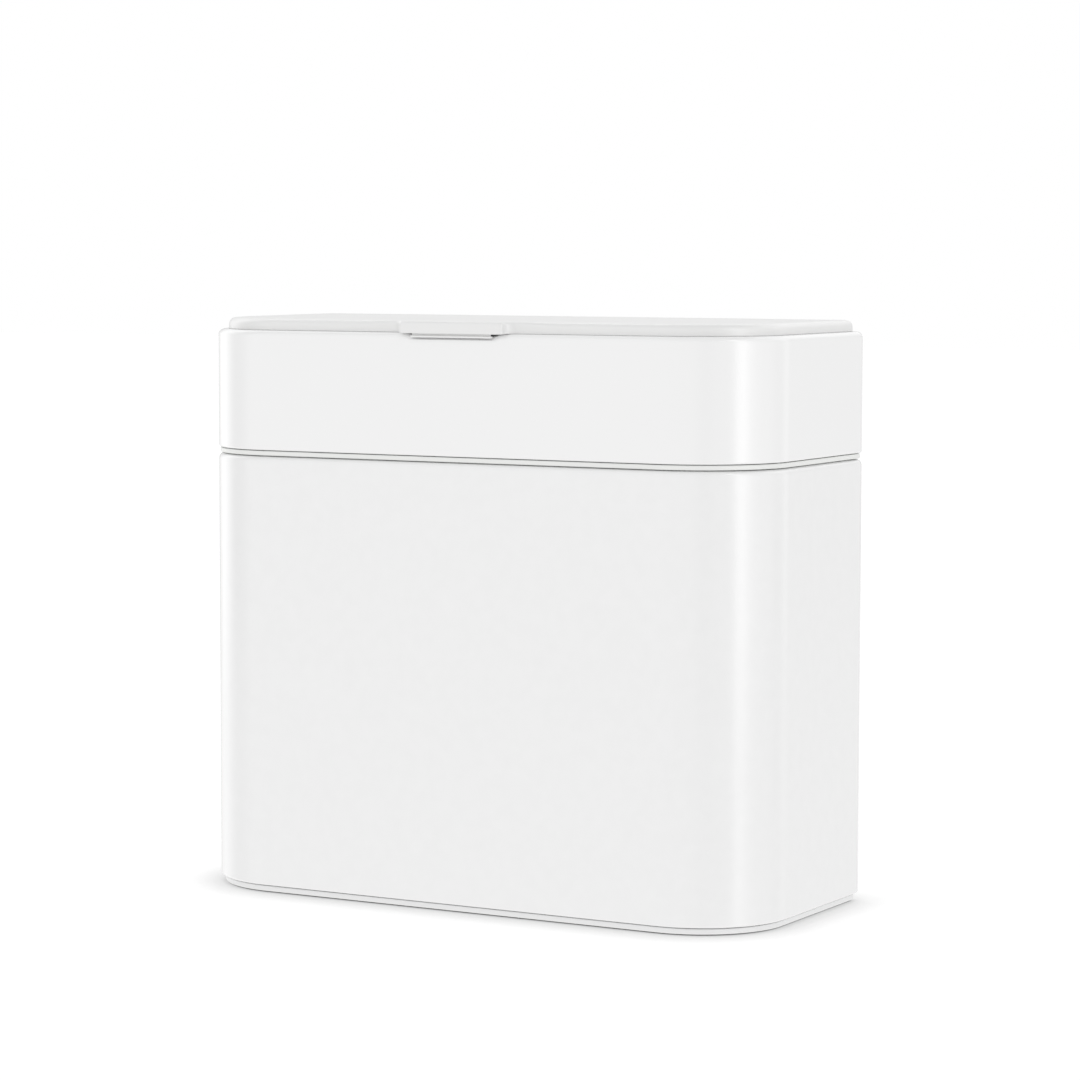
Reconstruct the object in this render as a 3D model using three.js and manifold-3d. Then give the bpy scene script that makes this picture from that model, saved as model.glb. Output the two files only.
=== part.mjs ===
// A compost caddy for the kitchen counter: a painted steel shell, a bucket that lifts
// out of it, an upper unit that lifts off the bucket's rim, and a hinged lid.
// Millimetres. +X is to the right, -Y is the front, +Z is up.
import * as THREE from 'three';
import { mergeVertices } from 'three/addons/utils/BufferGeometryUtils.js';
import Module from 'manifold-3d';

const wasm = await Module();
wasm.setup();

// Outline of the body, seen from above.
const bodyWidth = 230;
const bodyDepth = 99.6;
const frontCornerRadius = 34.5;
const backCornerRadius = 6.3;
const innerBackCornerRadius = 20;
const leastCornerRadius = 1.5;
const frontCornerSteps = 12;
const backCornerSteps = 5;

// Gaps: between pieces that touch, at the seams that show, and past a cut.
const fitGap = 0.3;
const seamGap = 0.4;
const overrun = 2;
const pivotGap = 0.4;

// Lower shell, painted sheet steel.
const shellHeight = 157.7;
const shellSheet = 0.8;
const shellEdgeRadius = 1;
const shellLipWidth = 2.6;
const shellHemWidth = 8;

// Guide ring for the bucket, inside the top of the shell.
const collarDrop = 3.3;
const collarHeight = 6;
const collarWall = 2.2;
const collarLeadIn = 0.5;

// Base tray below the shell.
const baseSetback = 1.6;
const trimHeight = 2;
const trimChamfer = 0.5;
const trimEdge = 0.3;

// Rubber feet in the base tray.
const footStand = 0.5;
const footRadius = 7;
const footRecessDepth = 1.4;
const footChamfer = 0.4;
const footFromSide = 27;
const footFromFront = 19.8;

// Floor plate on the shell's hem.
const floorPlateThickness = 1.2;
const floorPlateSetback = 2;

// Screws through the base tray into the floor plate.
const baseScrewHeadRadius = 3.2;
const baseScrewHeadHeight = 1.1;
const baseScrewRadius = 1.5;
const baseScrewReach = 1.5;
const baseScrewFromSide = 65;
const baseScrewFromFront = 17.8;

// Inner bucket.
const bucketClearance = 0.7;
const bucketWall = 1.8;
const bucketFloor = 2;
const bucketTaper = 3;
const bucketBottomRadius = 12;
const bucketUnderGap = 2.3;
const flangeSetback = 0.6;
const flangeThickness = 1.6;
const flangeEdge = 0.3;

// Bail of the bucket.
const bailWireRadius = 1.75;
const bailCornerRadius = 24;
const bailEndBendRadius = 2.5;
const bailSideGap = 0.7;
const bailBossRadius = 6;
const bailBossDrop = 3.6;
const bailBossSkin = 0.85;
const gripLength = 90;
const gripRadius = 4.5;
const gripEdge = 1;
const gripGap = 0.8;

// Upper band, painted sheet steel.
const bandHeight = 43.4;
const bandSheet = 0.9;
const bandRollRadius = 2.2;
const bandEdgeRadius = 1;
const bandTopWidth = 5;
const bandHemWidth = 2.6;

// Upper frame inside the band.
const frameWall = 2;
const frameWallHeight = 25;
const frameLedgeStep = 1.6;
const frameLedgeWidth = 3.2;
const skirtWall = 1.8;
const skirtOverlap = 5;

// Lid cover, with its finger tab.
const lidSetback = 3.2;
const lidThickness = 3.7;
const lidPlate = 2.2;
const lidEdgeRadius = 2.5;
const lidUnderEdge = 0.3;
const lidFrontCornerRadius = 33;
const lidBackCornerRadius = 4.5;
const lidWall = 3.6;
const tabReach = 5.4;
const tabRootRadius = 4;
const tabTipRadius = 3;
const tabHalfWidth = 24.5;

// Strip under the tab.
const tabGripHalfWidth = 16.6;
const tabGripProud = 1.5;
const tabGripHeight = 1.9;
const tabGripCornerRadius = 0.6;

// Lid liner and its plug.
const linerPlate = 1.4;
const plugDepth = 7.6;
const plugGap = 0.6;
const plugWall = 1.8;

// Seal round the plug.
const sealWidth = 2.1;
const sealChamfer = 0.6;
const sealSetback = 0.8;

// Screws through the liner into the cover.
const lidScrewHeadRadius = 2.5;
const lidScrewHeadHeight = 1.3;
const lidScrewRadius = 1.2;
const lidScrewBite = 1.1;
const lidScrewSkin = 0.3;
const lidScrewFromCentre = 70;
const lidScrewFromMiddle = 22;

// Rear hinges.
const hingeFromCentre = 62;
const knuckleRadius = 2.4;
const lidKnuckleLength = 16;
const frameKnuckleLength = 6;
const hingePinRadius = 1;
const hingeNotchSide = 1.1;
const hingeStemSetback = 0.6;
const hingeDropBelowLidTop = 2.45;

// Facets of round pieces, and how many steps a small edge radius has.
const knuckleSides = 16;
const boreSides = 12;
const screwSides = 12;
const footSides = 16;
const wireSides = 8;
const edgeSteps = 3;
const filletSteps = 4;

// Half of a thing, and a right angle.
const halfShare = 0.5;
const quarterTurn = Math.PI / 2;

// Heights, stacked from the ground up.
const halfWidth = bodyWidth * halfShare;
const halfDepth = bodyDepth * halfShare;
const baseBottom = footStand;
const baseTop = baseBottom + trimHeight;
const shellBottom = baseTop + seamGap;
const shellTop = shellBottom + shellHeight;
const flangeBottom = shellTop + seamGap;
const flangeTop = flangeBottom + flangeThickness;
const bandBottom = flangeTop + seamGap;
const bandTop = bandBottom + bandHeight;
const lidBottom = bandTop + seamGap;
const lidTop = lidBottom + lidThickness;
const floorPlateBottom = shellBottom + shellSheet + fitGap;
const floorPlateTop = floorPlateBottom + floorPlateThickness;
const bucketBottom = floorPlateTop + bucketUnderGap;

// Distances in from the body's outline, worked out from outside to inside.
const collarOuter = shellSheet + fitGap;
const collarInner = collarOuter + collarWall;
const bucketOuter = collarInner + bucketClearance;
const bucketInner = bucketOuter + bucketWall;
const frameOuter = bandSheet + fitGap;
const frameInner = frameOuter + frameWall;
const ledgeOuter = bandTopWidth + fitGap;
const throat = ledgeOuter + frameLedgeWidth;
const linerOuter = lidSetback + lidWall + fitGap;
const plugOuter = throat + plugGap;

// The bail turns just below the skirt of the upper unit, and swings up through its throat.
const skirtBottom = flangeTop - skirtOverlap;
const bailPivotHeight = skirtBottom - bailBossDrop - bailBossRadius;
const bailReach = halfDepth - throat - gripGap - gripRadius;

// The hinge axis runs along X, flush with the lid's rear edge.
const hingeY = halfDepth - lidSetback;
const hingeZ = lidTop - hingeDropBelowLidTop;

// The tab stands out in front, so the body is moved back to centre the whole.
const tabProud = tabReach - lidSetback;
const originShift = tabProud * halfShare;

// Points of a circular arc about a centre, from one angle to another.
function arcPoints(x, y, radius, from, to, steps) {
  return Array.from({ length: steps + 1 }, (_, step) => {
    const angle = from + (to - from) * (step / steps);
    return [x + radius * Math.cos(angle), y + radius * Math.sin(angle)];
  });
}

// One rounded corner of an outline that is set in from its outermost line.
function cornerPoints(sideX, sideY, width, depth, radius, inset, quadrant, steps) {
  const rounded = Math.max(radius - inset, leastCornerRadius);
  const x = sideX * (width - inset - rounded);
  const y = sideY * (depth - inset - rounded);
  const from = quadrant * quarterTurn;
  return arcPoints(x, y, rounded, from, from + quarterTurn, steps);
}

// The body's outline, set in by a distance, anticlockwise from the left front corner.
function bodyOutline(inset, backRadius = backCornerRadius) {
  return [
    ...cornerPoints(-1, -1, halfWidth, halfDepth, frontCornerRadius, inset, 2, frontCornerSteps),
    ...cornerPoints(1, -1, halfWidth, halfDepth, frontCornerRadius, inset, 3, frontCornerSteps),
    ...cornerPoints(1, 1, halfWidth, halfDepth, backRadius, inset, 0, backCornerSteps),
    ...cornerPoints(-1, 1, halfWidth, halfDepth, backRadius, inset, 1, backCornerSteps),
  ];
}

// The same outline with the wide rear corners of the bucket and of all that fits in it.
function innerOutline(inset) {
  return bodyOutline(inset, innerBackCornerRadius);
}

// The right side of the finger tab: a round tip that flows into a hollow root.
function tabSide(inset) {
  const lidFront = lidSetback - halfDepth;
  const turn = Math.acos(1 - tabReach / (tabRootRadius + tabTipRadius));
  const rootX = tabHalfWidth;
  const rootY = lidFront - tabRootRadius;
  const tipX = rootX - (tabRootRadius + tabTipRadius) * Math.sin(turn);
  const tipY = rootY + (tabRootRadius + tabTipRadius) * Math.cos(turn);
  const tip = arcPoints(tipX, tipY, tabTipRadius - inset, -quarterTurn, turn - quarterTurn, filletSteps);
  const root = arcPoints(rootX, rootY, tabRootRadius + inset, quarterTurn + turn, quarterTurn, filletSteps);
  return [...tip, ...root.slice(1)];
}

// The lid's outline with the tab at its front edge.
function lidOutline(inset) {
  const width = halfWidth - lidSetback;
  const depth = halfDepth - lidSetback;
  const right = tabSide(inset);
  const left = right.map(([x, y]) => [-x, y]).reverse();
  return [
    ...cornerPoints(-1, -1, width, depth, lidFrontCornerRadius, inset, 2, frontCornerSteps),
    ...left,
    ...right,
    ...cornerPoints(1, -1, width, depth, lidFrontCornerRadius, inset, 3, frontCornerSteps),
    ...cornerPoints(1, 1, width, depth, lidBackCornerRadius, inset, 0, backCornerSteps),
    ...cornerPoints(-1, 1, width, depth, lidBackCornerRadius, inset, 1, backCornerSteps),
  ];
}

// Joins rings of equal length into a skin. A closed loft runs back to its first ring,
// an open one has a flat cap at each end.
function loft(rings, closed) {
  const count = rings[0].length;
  const index = [];
  const spans = closed ? rings.length : rings.length - 1;
  for (let ring = 0; ring < spans; ring += 1) {
    const low = ring * count;
    const high = ((ring + 1) % rings.length) * count;
    for (let side = 0; side < count; side += 1) {
      const next = (side + 1) % count;
      index.push(low + side, low + next, high + next, low + side, high + next, high + side);
    }
  }
  if (!closed) {
    const last = (rings.length - 1) * count;
    for (let side = 1; side < count - 1; side += 1) {
      index.push(0, side + 1, side, last, last + side, last + side + 1);
    }
  }
  const geometry = new THREE.BufferGeometry();
  geometry.setAttribute('position', new THREE.Float32BufferAttribute(rings.flat(2), 3));
  geometry.setIndex(index);
  return geometry;
}

// Sweeps a profile round the body: each point is an inset and a height, and can name
// an outline of its own.
function sweep(profile, closed, usual = bodyOutline) {
  const rings = profile.map(([inset, z, outline = usual]) => {
    return outline(inset).map(([x, y]) => [x, y, z]);
  });
  return loft(rings, closed);
}

// Gives points of a profile the inner outline.
function within(points) {
  return points.map(([inset, z]) => [inset, z, innerOutline]);
}

// A turned piece on the Z axis from a profile of [radius, height] points.
function turned(profile, sides) {
  const points = profile.map(([radius, z]) => new THREE.Vector2(radius, z));
  return new THREE.LatheGeometry(points, sides).rotateX(quarterTurn);
}

function boxBetween(low, high) {
  const size = high.map((value, axis) => value - low[axis]);
  const middle = high.map((value, axis) => (value + low[axis]) * halfShare);
  return new THREE.BoxGeometry(...size).translate(...middle);
}

// A cylinder along X between two places, at a height and depth.
function barrelX(from, to, y, z, radius, sides) {
  const barrel = new THREE.CylinderGeometry(radius, radius, to - from, sides);
  return barrel.rotateZ(quarterTurn).translate((from + to) * halfShare, y, z);
}

// A cylinder along Z between two heights.
function barrelZ(x, y, from, to, radius, sides) {
  const barrel = new THREE.CylinderGeometry(radius, radius, to - from, sides);
  return barrel.rotateX(quarterTurn).translate(x, y, (from + to) * halfShare);
}

// A closed mesh as a solid that can be cut and joined.
function solidOf(geometry) {
  const bare = geometry.clone();
  bare.deleteAttribute('normal');
  bare.deleteAttribute('uv');
  const merged = mergeVertices(bare);
  const vertProperties = new Float32Array(merged.attributes.position.array);
  const triVerts = new Uint32Array(merged.index.array);
  return new wasm.Manifold(new wasm.Mesh({ numProp: 3, vertProperties, triVerts }));
}

// Joins some pieces to a base and then cuts others out of it.
function shaped(base, joined, cut) {
  let solid = solidOf(base);
  for (const piece of joined) solid = solid.add(solidOf(piece));
  for (const piece of cut) solid = solid.subtract(solidOf(piece));
  const { vertProperties, triVerts } = solid.getMesh();
  const geometry = new THREE.BufferGeometry();
  geometry.setAttribute('position', new THREE.BufferAttribute(new Float32Array(vertProperties), 3));
  geometry.setIndex(new THREE.BufferAttribute(new Uint32Array(triVerts), 1));
  return geometry;
}

const finishes = {
  paintedSteel: { color: 0xf1f1f1, roughness: 0.32, metalness: 0 },
  lidPlastic: { color: 0xeeeeee, roughness: 0.38, metalness: 0 },
  innerPlastic: { color: 0xe9eae8, roughness: 0.5, metalness: 0 },
  trimPlastic: { color: 0xe2e3e3, roughness: 0.5, metalness: 0 },
  silicone: { color: 0xd6d8d9, roughness: 0.6, metalness: 0 },
  rubber: { color: 0x8b8d8f, roughness: 0.8, metalness: 0 },
  stainless: { color: 0xc9cbcc, roughness: 0.28, metalness: 1 },
  zincedSteel: { color: 0xb9bdbf, roughness: 0.42, metalness: 1 },
};

function piece(name, geometry, finish) {
  const mesh = new THREE.Mesh(geometry, new THREE.MeshStandardMaterial(finishes[finish]));
  mesh.name = name;
  return mesh;
}

// Centres of four like pieces, from a place in the right rear quarter.
function fourPlaces(x, y) {
  return [[-x, -y], [x, -y], [-x, y], [x, y]];
}

const footPlaces = fourPlaces(halfWidth - footFromSide, halfDepth - footFromFront);
const baseScrewPlaces = fourPlaces(halfWidth - baseScrewFromSide, halfDepth - baseScrewFromFront);
const lidScrewPlaces = fourPlaces(lidScrewFromCentre, lidScrewFromMiddle);

// The steel wrap: a rolled lip at the top and a hem turned in at the bottom.
function makeLowerShell() {
  const edge = shellEdgeRadius;
  const bottomEdge = arcPoints(edge, shellBottom + edge, edge, -quarterTurn, -2 * quarterTurn, edgeSteps);
  const topEdge = arcPoints(edge, shellTop - edge, edge, 2 * quarterTurn, quarterTurn, edgeSteps);
  const profile = [
    [shellHemWidth, shellBottom],
    ...bottomEdge,
    ...topEdge,
    [shellLipWidth, shellTop],
    [shellLipWidth, shellTop - shellSheet],
    [shellSheet, shellTop - shellSheet],
    [shellSheet, shellBottom + shellSheet],
    [shellHemWidth, shellBottom + shellSheet],
  ];
  return piece('lower_shell', sweep(profile, true), 'paintedSteel');
}

function makeShellCollar() {
  const top = shellTop - shellSheet - collarDrop;
  const bottom = top - collarHeight;
  const profile = [
    [collarInner - collarLeadIn, bottom],
    [collarOuter, bottom],
    [collarOuter, top],
    [collarInner - collarLeadIn, top],
    [collarInner, top - collarLeadIn],
    [collarInner, bottom + collarLeadIn],
  ];
  return piece('shell_collar', sweep(profile, true), 'innerPlastic');
}

function makeFloorPlate() {
  const profile = [
    [floorPlateSetback, floorPlateBottom],
    [floorPlateSetback, floorPlateTop],
  ];
  const holes = baseScrewPlaces.map(([x, y]) => {
    const radius = baseScrewRadius + fitGap;
    return barrelZ(x, y, floorPlateBottom - overrun, floorPlateTop + overrun, radius, screwSides);
  });
  return piece('floor_plate', shaped(sweep(profile, false), [], holes), 'zincedSteel');
}

// The base: a trim that shows below the shell, and a raised middle inside its hem.
function makeBaseTray() {
  const raised = shellHemWidth + fitGap;
  const raisedTop = floorPlateBottom - fitGap;
  const profile = [
    [baseSetback + trimChamfer, baseBottom],
    [baseSetback, baseBottom + trimChamfer],
    [baseSetback, baseTop - trimEdge],
    [baseSetback + trimEdge, baseTop],
    [raised, baseTop],
    [raised, raisedTop],
  ];
  const below = baseBottom - overrun;
  const recesses = footPlaces.map(([x, y]) => {
    const radius = footRadius + fitGap;
    return barrelZ(x, y, below, baseBottom + footRecessDepth, radius, footSides);
  });
  const headTop = baseBottom + fitGap + baseScrewHeadHeight;
  const heads = baseScrewPlaces.map(([x, y]) => {
    const radius = baseScrewHeadRadius + fitGap;
    return barrelZ(x, y, below, headTop + fitGap, radius, screwSides);
  });
  const shanks = baseScrewPlaces.map(([x, y]) => {
    const radius = baseScrewRadius + fitGap;
    return barrelZ(x, y, below, raisedTop + overrun, radius, screwSides);
  });
  const tray = shaped(sweep(profile, false), [], [...recesses, ...heads, ...shanks]);
  return piece('base_tray', tray, 'trimPlastic');
}

function makeFeet() {
  const top = baseBottom + footRecessDepth - fitGap;
  const profile = [
    [0, 0],
    [footRadius - footChamfer, 0],
    [footRadius, footChamfer],
    [footRadius, top],
    [0, top],
  ];
  return footPlaces.map(([x, y], place) => {
    const foot = piece(`foot_${place + 1}`, turned(profile, footSides), 'rubber');
    foot.position.set(x, y, 0);
    return foot;
  });
}

// A pan head screw with its head below and its shank up, as [radius, height] points.
function screwProfile(headRadius, headHeight, radius, bottom, tip) {
  const headTop = bottom + headHeight;
  return [
    [0, bottom],
    [headRadius * halfShare, bottom],
    [headRadius, bottom + headHeight * halfShare],
    [headRadius, headTop],
    [radius, headTop],
    [radius, tip - radius * halfShare],
    [radius * halfShare, tip],
    [0, tip],
  ];
}

function makeBaseScrews() {
  const bottom = baseBottom + fitGap;
  const tip = floorPlateTop + baseScrewReach;
  const profile = screwProfile(baseScrewHeadRadius, baseScrewHeadHeight, baseScrewRadius, bottom, tip);
  return baseScrewPlaces.map(([x, y], place) => {
    const screw = piece(`base_screw_${place + 1}`, turned(profile, screwSides), 'zincedSteel');
    screw.position.set(x, y, 0);
    return screw;
  });
}

// Places along X on the right side of the bail, and of the boss that holds its end.
const bailArmX = halfWidth - throat - bailSideGap - bailWireRadius;
const bossFaceX = bailArmX + bailWireRadius + pivotGap;
const wallHeightShare = (bailPivotHeight - bucketBottom) / (flangeBottom - bucketBottom);
const wallDriftAtPivot = bucketTaper * (1 - wallHeightShare);
const bossEndX = halfWidth - bucketOuter - wallDriftAtPivot - bailBossSkin;
const bossHoleRadius = bailWireRadius + pivotGap;

// The bucket: a tapered tub with a rounded bottom and a flange that sits on the shell.
function makeInnerBucket() {
  const wallFoot = bucketOuter + bucketTaper;
  const turn = bucketBottomRadius;
  const innerTurn = turn - bucketWall;
  const centre = bucketBottom + turn;
  const inside = wallFoot + turn;
  const outerBottom = arcPoints(inside, centre, turn, -quarterTurn, -2 * quarterTurn, filletSteps);
  const floorTop = bucketBottom + bucketFloor;
  const innerCentre = floorTop + innerTurn;
  const innerBottom = arcPoints(inside, innerCentre, innerTurn, 2 * quarterTurn, 3 * quarterTurn, filletSteps);
  const profile = [
    ...within([...outerBottom, [bucketOuter, flangeBottom]]),
    [flangeSetback + flangeEdge, flangeBottom],
    [flangeSetback, flangeBottom + flangeEdge],
    [flangeSetback, flangeTop - flangeEdge],
    [flangeSetback + flangeEdge, flangeTop],
    ...within([[bucketInner - flangeEdge, flangeTop], [bucketInner, flangeTop - flangeEdge]]),
    ...within(innerBottom),
  ];
  const bosses = [];
  const holes = [];
  for (const side of [-1, 1]) {
    const ends = [side * bossFaceX, side * (bossEndX + bailBossSkin * halfShare)].sort((a, b) => a - b);
    bosses.push(barrelX(...ends, 0, bailPivotHeight, bailBossRadius, knuckleSides));
    const deep = [side * (bossFaceX - overrun), side * bossEndX].sort((a, b) => a - b);
    holes.push(barrelX(...deep, 0, bailPivotHeight, bossHoleRadius, knuckleSides));
  }
  return piece('inner_bucket', shaped(sweep(profile, false), bosses, holes), 'innerPlastic');
}

// The right half of the bail's route, from its end in the boss to the front bar.
function bailRoute() {
  const endX = bossEndX - pivotGap;
  const bend = bailEndBendRadius;
  const turn = bailCornerRadius;
  const ends = [[[endX, 0], [-1, 0]]];
  for (let step = 0; step <= filletSteps; step += 1) {
    const angle = quarterTurn + quarterTurn * (step / filletSteps);
    const place = [bailArmX + bend + bend * Math.cos(angle), -bend + bend * Math.sin(angle)];
    ends.push([place, [-Math.sin(angle), Math.cos(angle)]]);
  }
  for (let step = 0; step <= 2 * filletSteps; step += 1) {
    const angle = -quarterTurn * (step / (2 * filletSteps));
    const place = [bailArmX - turn + turn * Math.cos(angle), turn - bailReach + turn * Math.sin(angle)];
    ends.push([place, [Math.sin(angle), -Math.cos(angle)]]);
  }
  return ends;
}

// A wire bail: rings of the wire's section, square to its route in a level plane.
function makeBailWire() {
  const right = bailRoute();
  const left = right.map(([[x, y], [dx, dy]]) => [[-x, y], [dx, -dy]]).reverse();
  const rings = [...right, ...left].map(([[x, y], [dx, dy]]) => {
    return arcPoints(0, 0, bailWireRadius, 0, 4 * quarterTurn, wireSides).slice(1).map(([across, up]) => {
      return [x - dy * across, y + dx * across, bailPivotHeight + up];
    });
  });
  return piece('bail_wire', loft(rings, false), 'stainless');
}

function makeBailGrip() {
  const end = gripLength * halfShare;
  const bore = bailWireRadius + fitGap;
  const profile = [
    [bore, -end],
    [gripRadius - gripEdge, -end],
    [gripRadius, gripEdge - end],
    [gripRadius, end - gripEdge],
    [gripRadius - gripEdge, end],
    [bore, end],
    [bore, -end],
  ];
  const grip = turned(profile, knuckleSides).rotateY(quarterTurn);
  return piece('bail_grip', grip.translate(0, -bailReach, bailPivotHeight), 'trimPlastic');
}

// Cuts at the rear of the band that let the hinge knuckles stand up through it.
const hingeHalf = lidKnuckleLength * halfShare + pivotGap + frameKnuckleLength;

function makeUpperBand() {
  const edge = bandEdgeRadius;
  const roll = bandRollRadius;
  const innerRoll = roll - bandSheet;
  const centre = bandTop - roll;
  const bottomEdge = arcPoints(edge, bandBottom + edge, edge, -quarterTurn, -2 * quarterTurn, edgeSteps);
  const outerRoll = arcPoints(roll, centre, roll, 2 * quarterTurn, quarterTurn, filletSteps);
  const profile = [
    [bandHemWidth, bandBottom],
    ...bottomEdge,
    ...outerRoll,
    ...within([[bandTopWidth, bandTop], [bandTopWidth, bandTop - bandSheet]]),
    ...arcPoints(roll, centre, innerRoll, quarterTurn, 2 * quarterTurn, edgeSteps),
    [bandSheet, bandBottom + bandSheet],
    [bandHemWidth, bandBottom + bandSheet],
  ];
  const notches = [-1, 1].map((side) => {
    const middle = side * hingeFromCentre;
    const reach = hingeHalf + hingeNotchSide;
    const front = halfDepth - bandTopWidth - overrun;
    const low = [middle - reach, front, centre + seamGap];
    return boxBetween(low, [middle + reach, halfDepth + overrun, bandTop + overrun]);
  });
  return piece('upper_band', shaped(sweep(profile, true), [], notches), 'paintedSteel');
}

// The frame: outer wall in the band, ledge for the seal, and a skirt into the bucket.
function makeUpperFrame() {
  const top = bandTop - bandSheet - fitGap;
  const bottom = top - frameWallHeight;
  const ledge = top - frameLedgeStep;
  const web = ledge - frameWall;
  const chamfer = bandRollRadius - frameOuter;
  const profile = [
    [frameInner, bottom],
    [frameOuter, bottom],
    [frameOuter, top - chamfer],
    [frameOuter + chamfer, top],
    ...within([[ledgeOuter, top], [ledgeOuter, ledge], [throat, ledge], [throat, skirtBottom]]),
    ...within([[throat - skirtWall, skirtBottom], [throat - skirtWall, web]]),
    [frameInner, web],
  ];
  const knuckles = [];
  const bores = [];
  for (const side of [-1, 1]) {
    for (const end of [-1, 1]) {
      const middle = side * hingeFromCentre + end * (hingeHalf - frameKnuckleLength * halfShare);
      const from = middle - frameKnuckleLength * halfShare;
      const to = middle + frameKnuckleLength * halfShare;
      knuckles.push(barrelX(from, to, hingeY, hingeZ, knuckleRadius, knuckleSides));
      const stemBack = hingeY + knuckleRadius - hingeStemSetback;
      knuckles.push(boxBetween([from, hingeY - knuckleRadius, ledge], [to, stemBack, hingeZ]));
      const bore = hingePinRadius + fitGap;
      bores.push(barrelX(from - overrun, to + overrun, hingeY, hingeZ, bore, boreSides));
    }
  }
  return piece('upper_frame', shaped(sweep(profile, true), knuckles, bores), 'innerPlastic');
}

function makeHingePins() {
  const names = ['hinge_pin_left', 'hinge_pin_right'];
  return names.map((name, place) => {
    const middle = (place === 0 ? -1 : 1) * hingeFromCentre;
    const pin = barrelX(middle - hingeHalf, middle + hingeHalf, hingeY, hingeZ, hingePinRadius, boreSides);
    return piece(name, pin, 'stainless');
  });
}

// The lid cover: a plate with a rounded edge, a tab, a hollow underside and knuckles.
function makeLidCover() {
  const edge = lidEdgeRadius;
  const profile = [
    [lidUnderEdge, lidBottom],
    [0, lidBottom + lidUnderEdge],
    ...arcPoints(edge, lidTop - edge, edge, 2 * quarterTurn, quarterTurn, filletSteps),
  ];
  const hollow = sweep([
    [lidSetback + lidWall, lidBottom - overrun],
    [lidSetback + lidWall, lidTop - lidPlate],
  ], false, innerOutline);
  const screwHoles = lidScrewPlaces.map(([x, y]) => {
    const top = lidTop - lidPlate + lidScrewBite + lidScrewSkin;
    return barrelZ(x, y, lidBottom, top, lidScrewRadius + fitGap, screwSides);
  });
  const knuckles = [];
  const cuts = [hollow, ...screwHoles];
  for (const side of [-1, 1]) {
    const middle = side * hingeFromCentre;
    const half = lidKnuckleLength * halfShare;
    knuckles.push(barrelX(middle - half, middle + half, hingeY, hingeZ, knuckleRadius, knuckleSides));
    cuts.push(barrelX(middle - hingeHalf, middle + hingeHalf, hingeY, hingeZ, hingePinRadius + fitGap, boreSides));
    for (const end of [-1, 1]) {
      const edges = [middle + end * half, middle + end * (hingeHalf + pivotGap)].sort((a, b) => a - b);
      const front = hingeY - knuckleRadius - pivotGap;
      cuts.push(boxBetween([edges[0], front, lidBottom - overrun], [edges[1], halfDepth, lidTop + overrun]));
    }
  }
  return piece('lid_cover', shaped(sweep(profile, false, lidOutline), knuckles, cuts), 'lidPlastic');
}

// A thin strip under the tab, in front of the band.
function makeTabGrip() {
  const front = -halfDepth - tabGripProud;
  const back = -halfDepth - fitGap;
  const top = lidBottom - fitGap;
  const radius = tabGripCornerRadius;
  const x = tabGripHalfWidth - radius;
  const outline = [
    ...arcPoints(-x, front + radius, radius, 2 * quarterTurn, 3 * quarterTurn, edgeSteps),
    ...arcPoints(x, front + radius, radius, 3 * quarterTurn, 4 * quarterTurn, edgeSteps),
    [tabGripHalfWidth, back],
    [-tabGripHalfWidth, back],
  ];
  const rings = [top - tabGripHeight, top].map((z) => outline.map(([px, py]) => [px, py, z]));
  return piece('tab_grip', loft(rings, false), 'lidPlastic');
}

// The liner: a plate in the cover's hollow, with a ring that plugs the throat.
function makeLidLiner() {
  const ceiling = lidTop - lidPlate - fitGap;
  const underside = ceiling - linerPlate;
  const plugBottom = underside - plugDepth;
  const profile = [
    [plugOuter + plugWall, underside],
    [plugOuter + plugWall, plugBottom],
    [plugOuter, plugBottom],
    [plugOuter, underside],
    [linerOuter, underside],
    [linerOuter, ceiling],
  ];
  const holes = lidScrewPlaces.map(([x, y]) => {
    const radius = lidScrewRadius + fitGap;
    return barrelZ(x, y, underside - overrun, ceiling + overrun, radius, screwSides);
  });
  return piece('lid_liner', shaped(sweep(profile, false, innerOutline), [], holes), 'innerPlastic');
}

function makeLidSeal() {
  const outer = ledgeOuter + sealSetback;
  const inner = outer + sealWidth;
  const top = lidTop - lidPlate - fitGap - linerPlate - fitGap;
  const bottom = bandTop - bandSheet - fitGap - frameLedgeStep + fitGap;
  const profile = [
    [inner, bottom + sealChamfer],
    [inner - sealChamfer, bottom],
    [outer + sealChamfer, bottom],
    [outer, bottom + sealChamfer],
    [outer, top],
    [inner, top],
  ];
  return piece('lid_seal', sweep(profile, true, innerOutline), 'silicone');
}

function makeLidScrews() {
  const underside = lidTop - lidPlate - fitGap - linerPlate;
  const bottom = underside - fitGap - lidScrewHeadHeight;
  const tip = lidTop - lidPlate + lidScrewBite;
  const profile = screwProfile(lidScrewHeadRadius, lidScrewHeadHeight, lidScrewRadius, bottom, tip);
  return lidScrewPlaces.map(([x, y], place) => {
    const screw = piece(`lid_screw_${place + 1}`, turned(profile, screwSides), 'zincedSteel');
    screw.position.set(x, y, 0);
    return screw;
  });
}

const lowerBody = new THREE.Group();
lowerBody.add(makeLowerShell(), makeShellCollar(), makeFloorPlate(), makeBaseTray());
lowerBody.add(...makeBaseScrews(), ...makeFeet());

const bucket = new THREE.Group();
bucket.add(makeInnerBucket(), makeBailWire(), makeBailGrip());

const upperUnit = new THREE.Group();
upperUnit.add(makeUpperBand(), makeUpperFrame(), ...makeHingePins());

const lid = new THREE.Group();
lid.add(makeLidCover(), makeTabGrip(), makeLidLiner(), makeLidSeal(), ...makeLidScrews());

const caddy = new THREE.Group();
caddy.add(lowerBody, bucket, upperUnit, lid);
caddy.position.y = originShift;

export default caddy;
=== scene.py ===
import math

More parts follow.
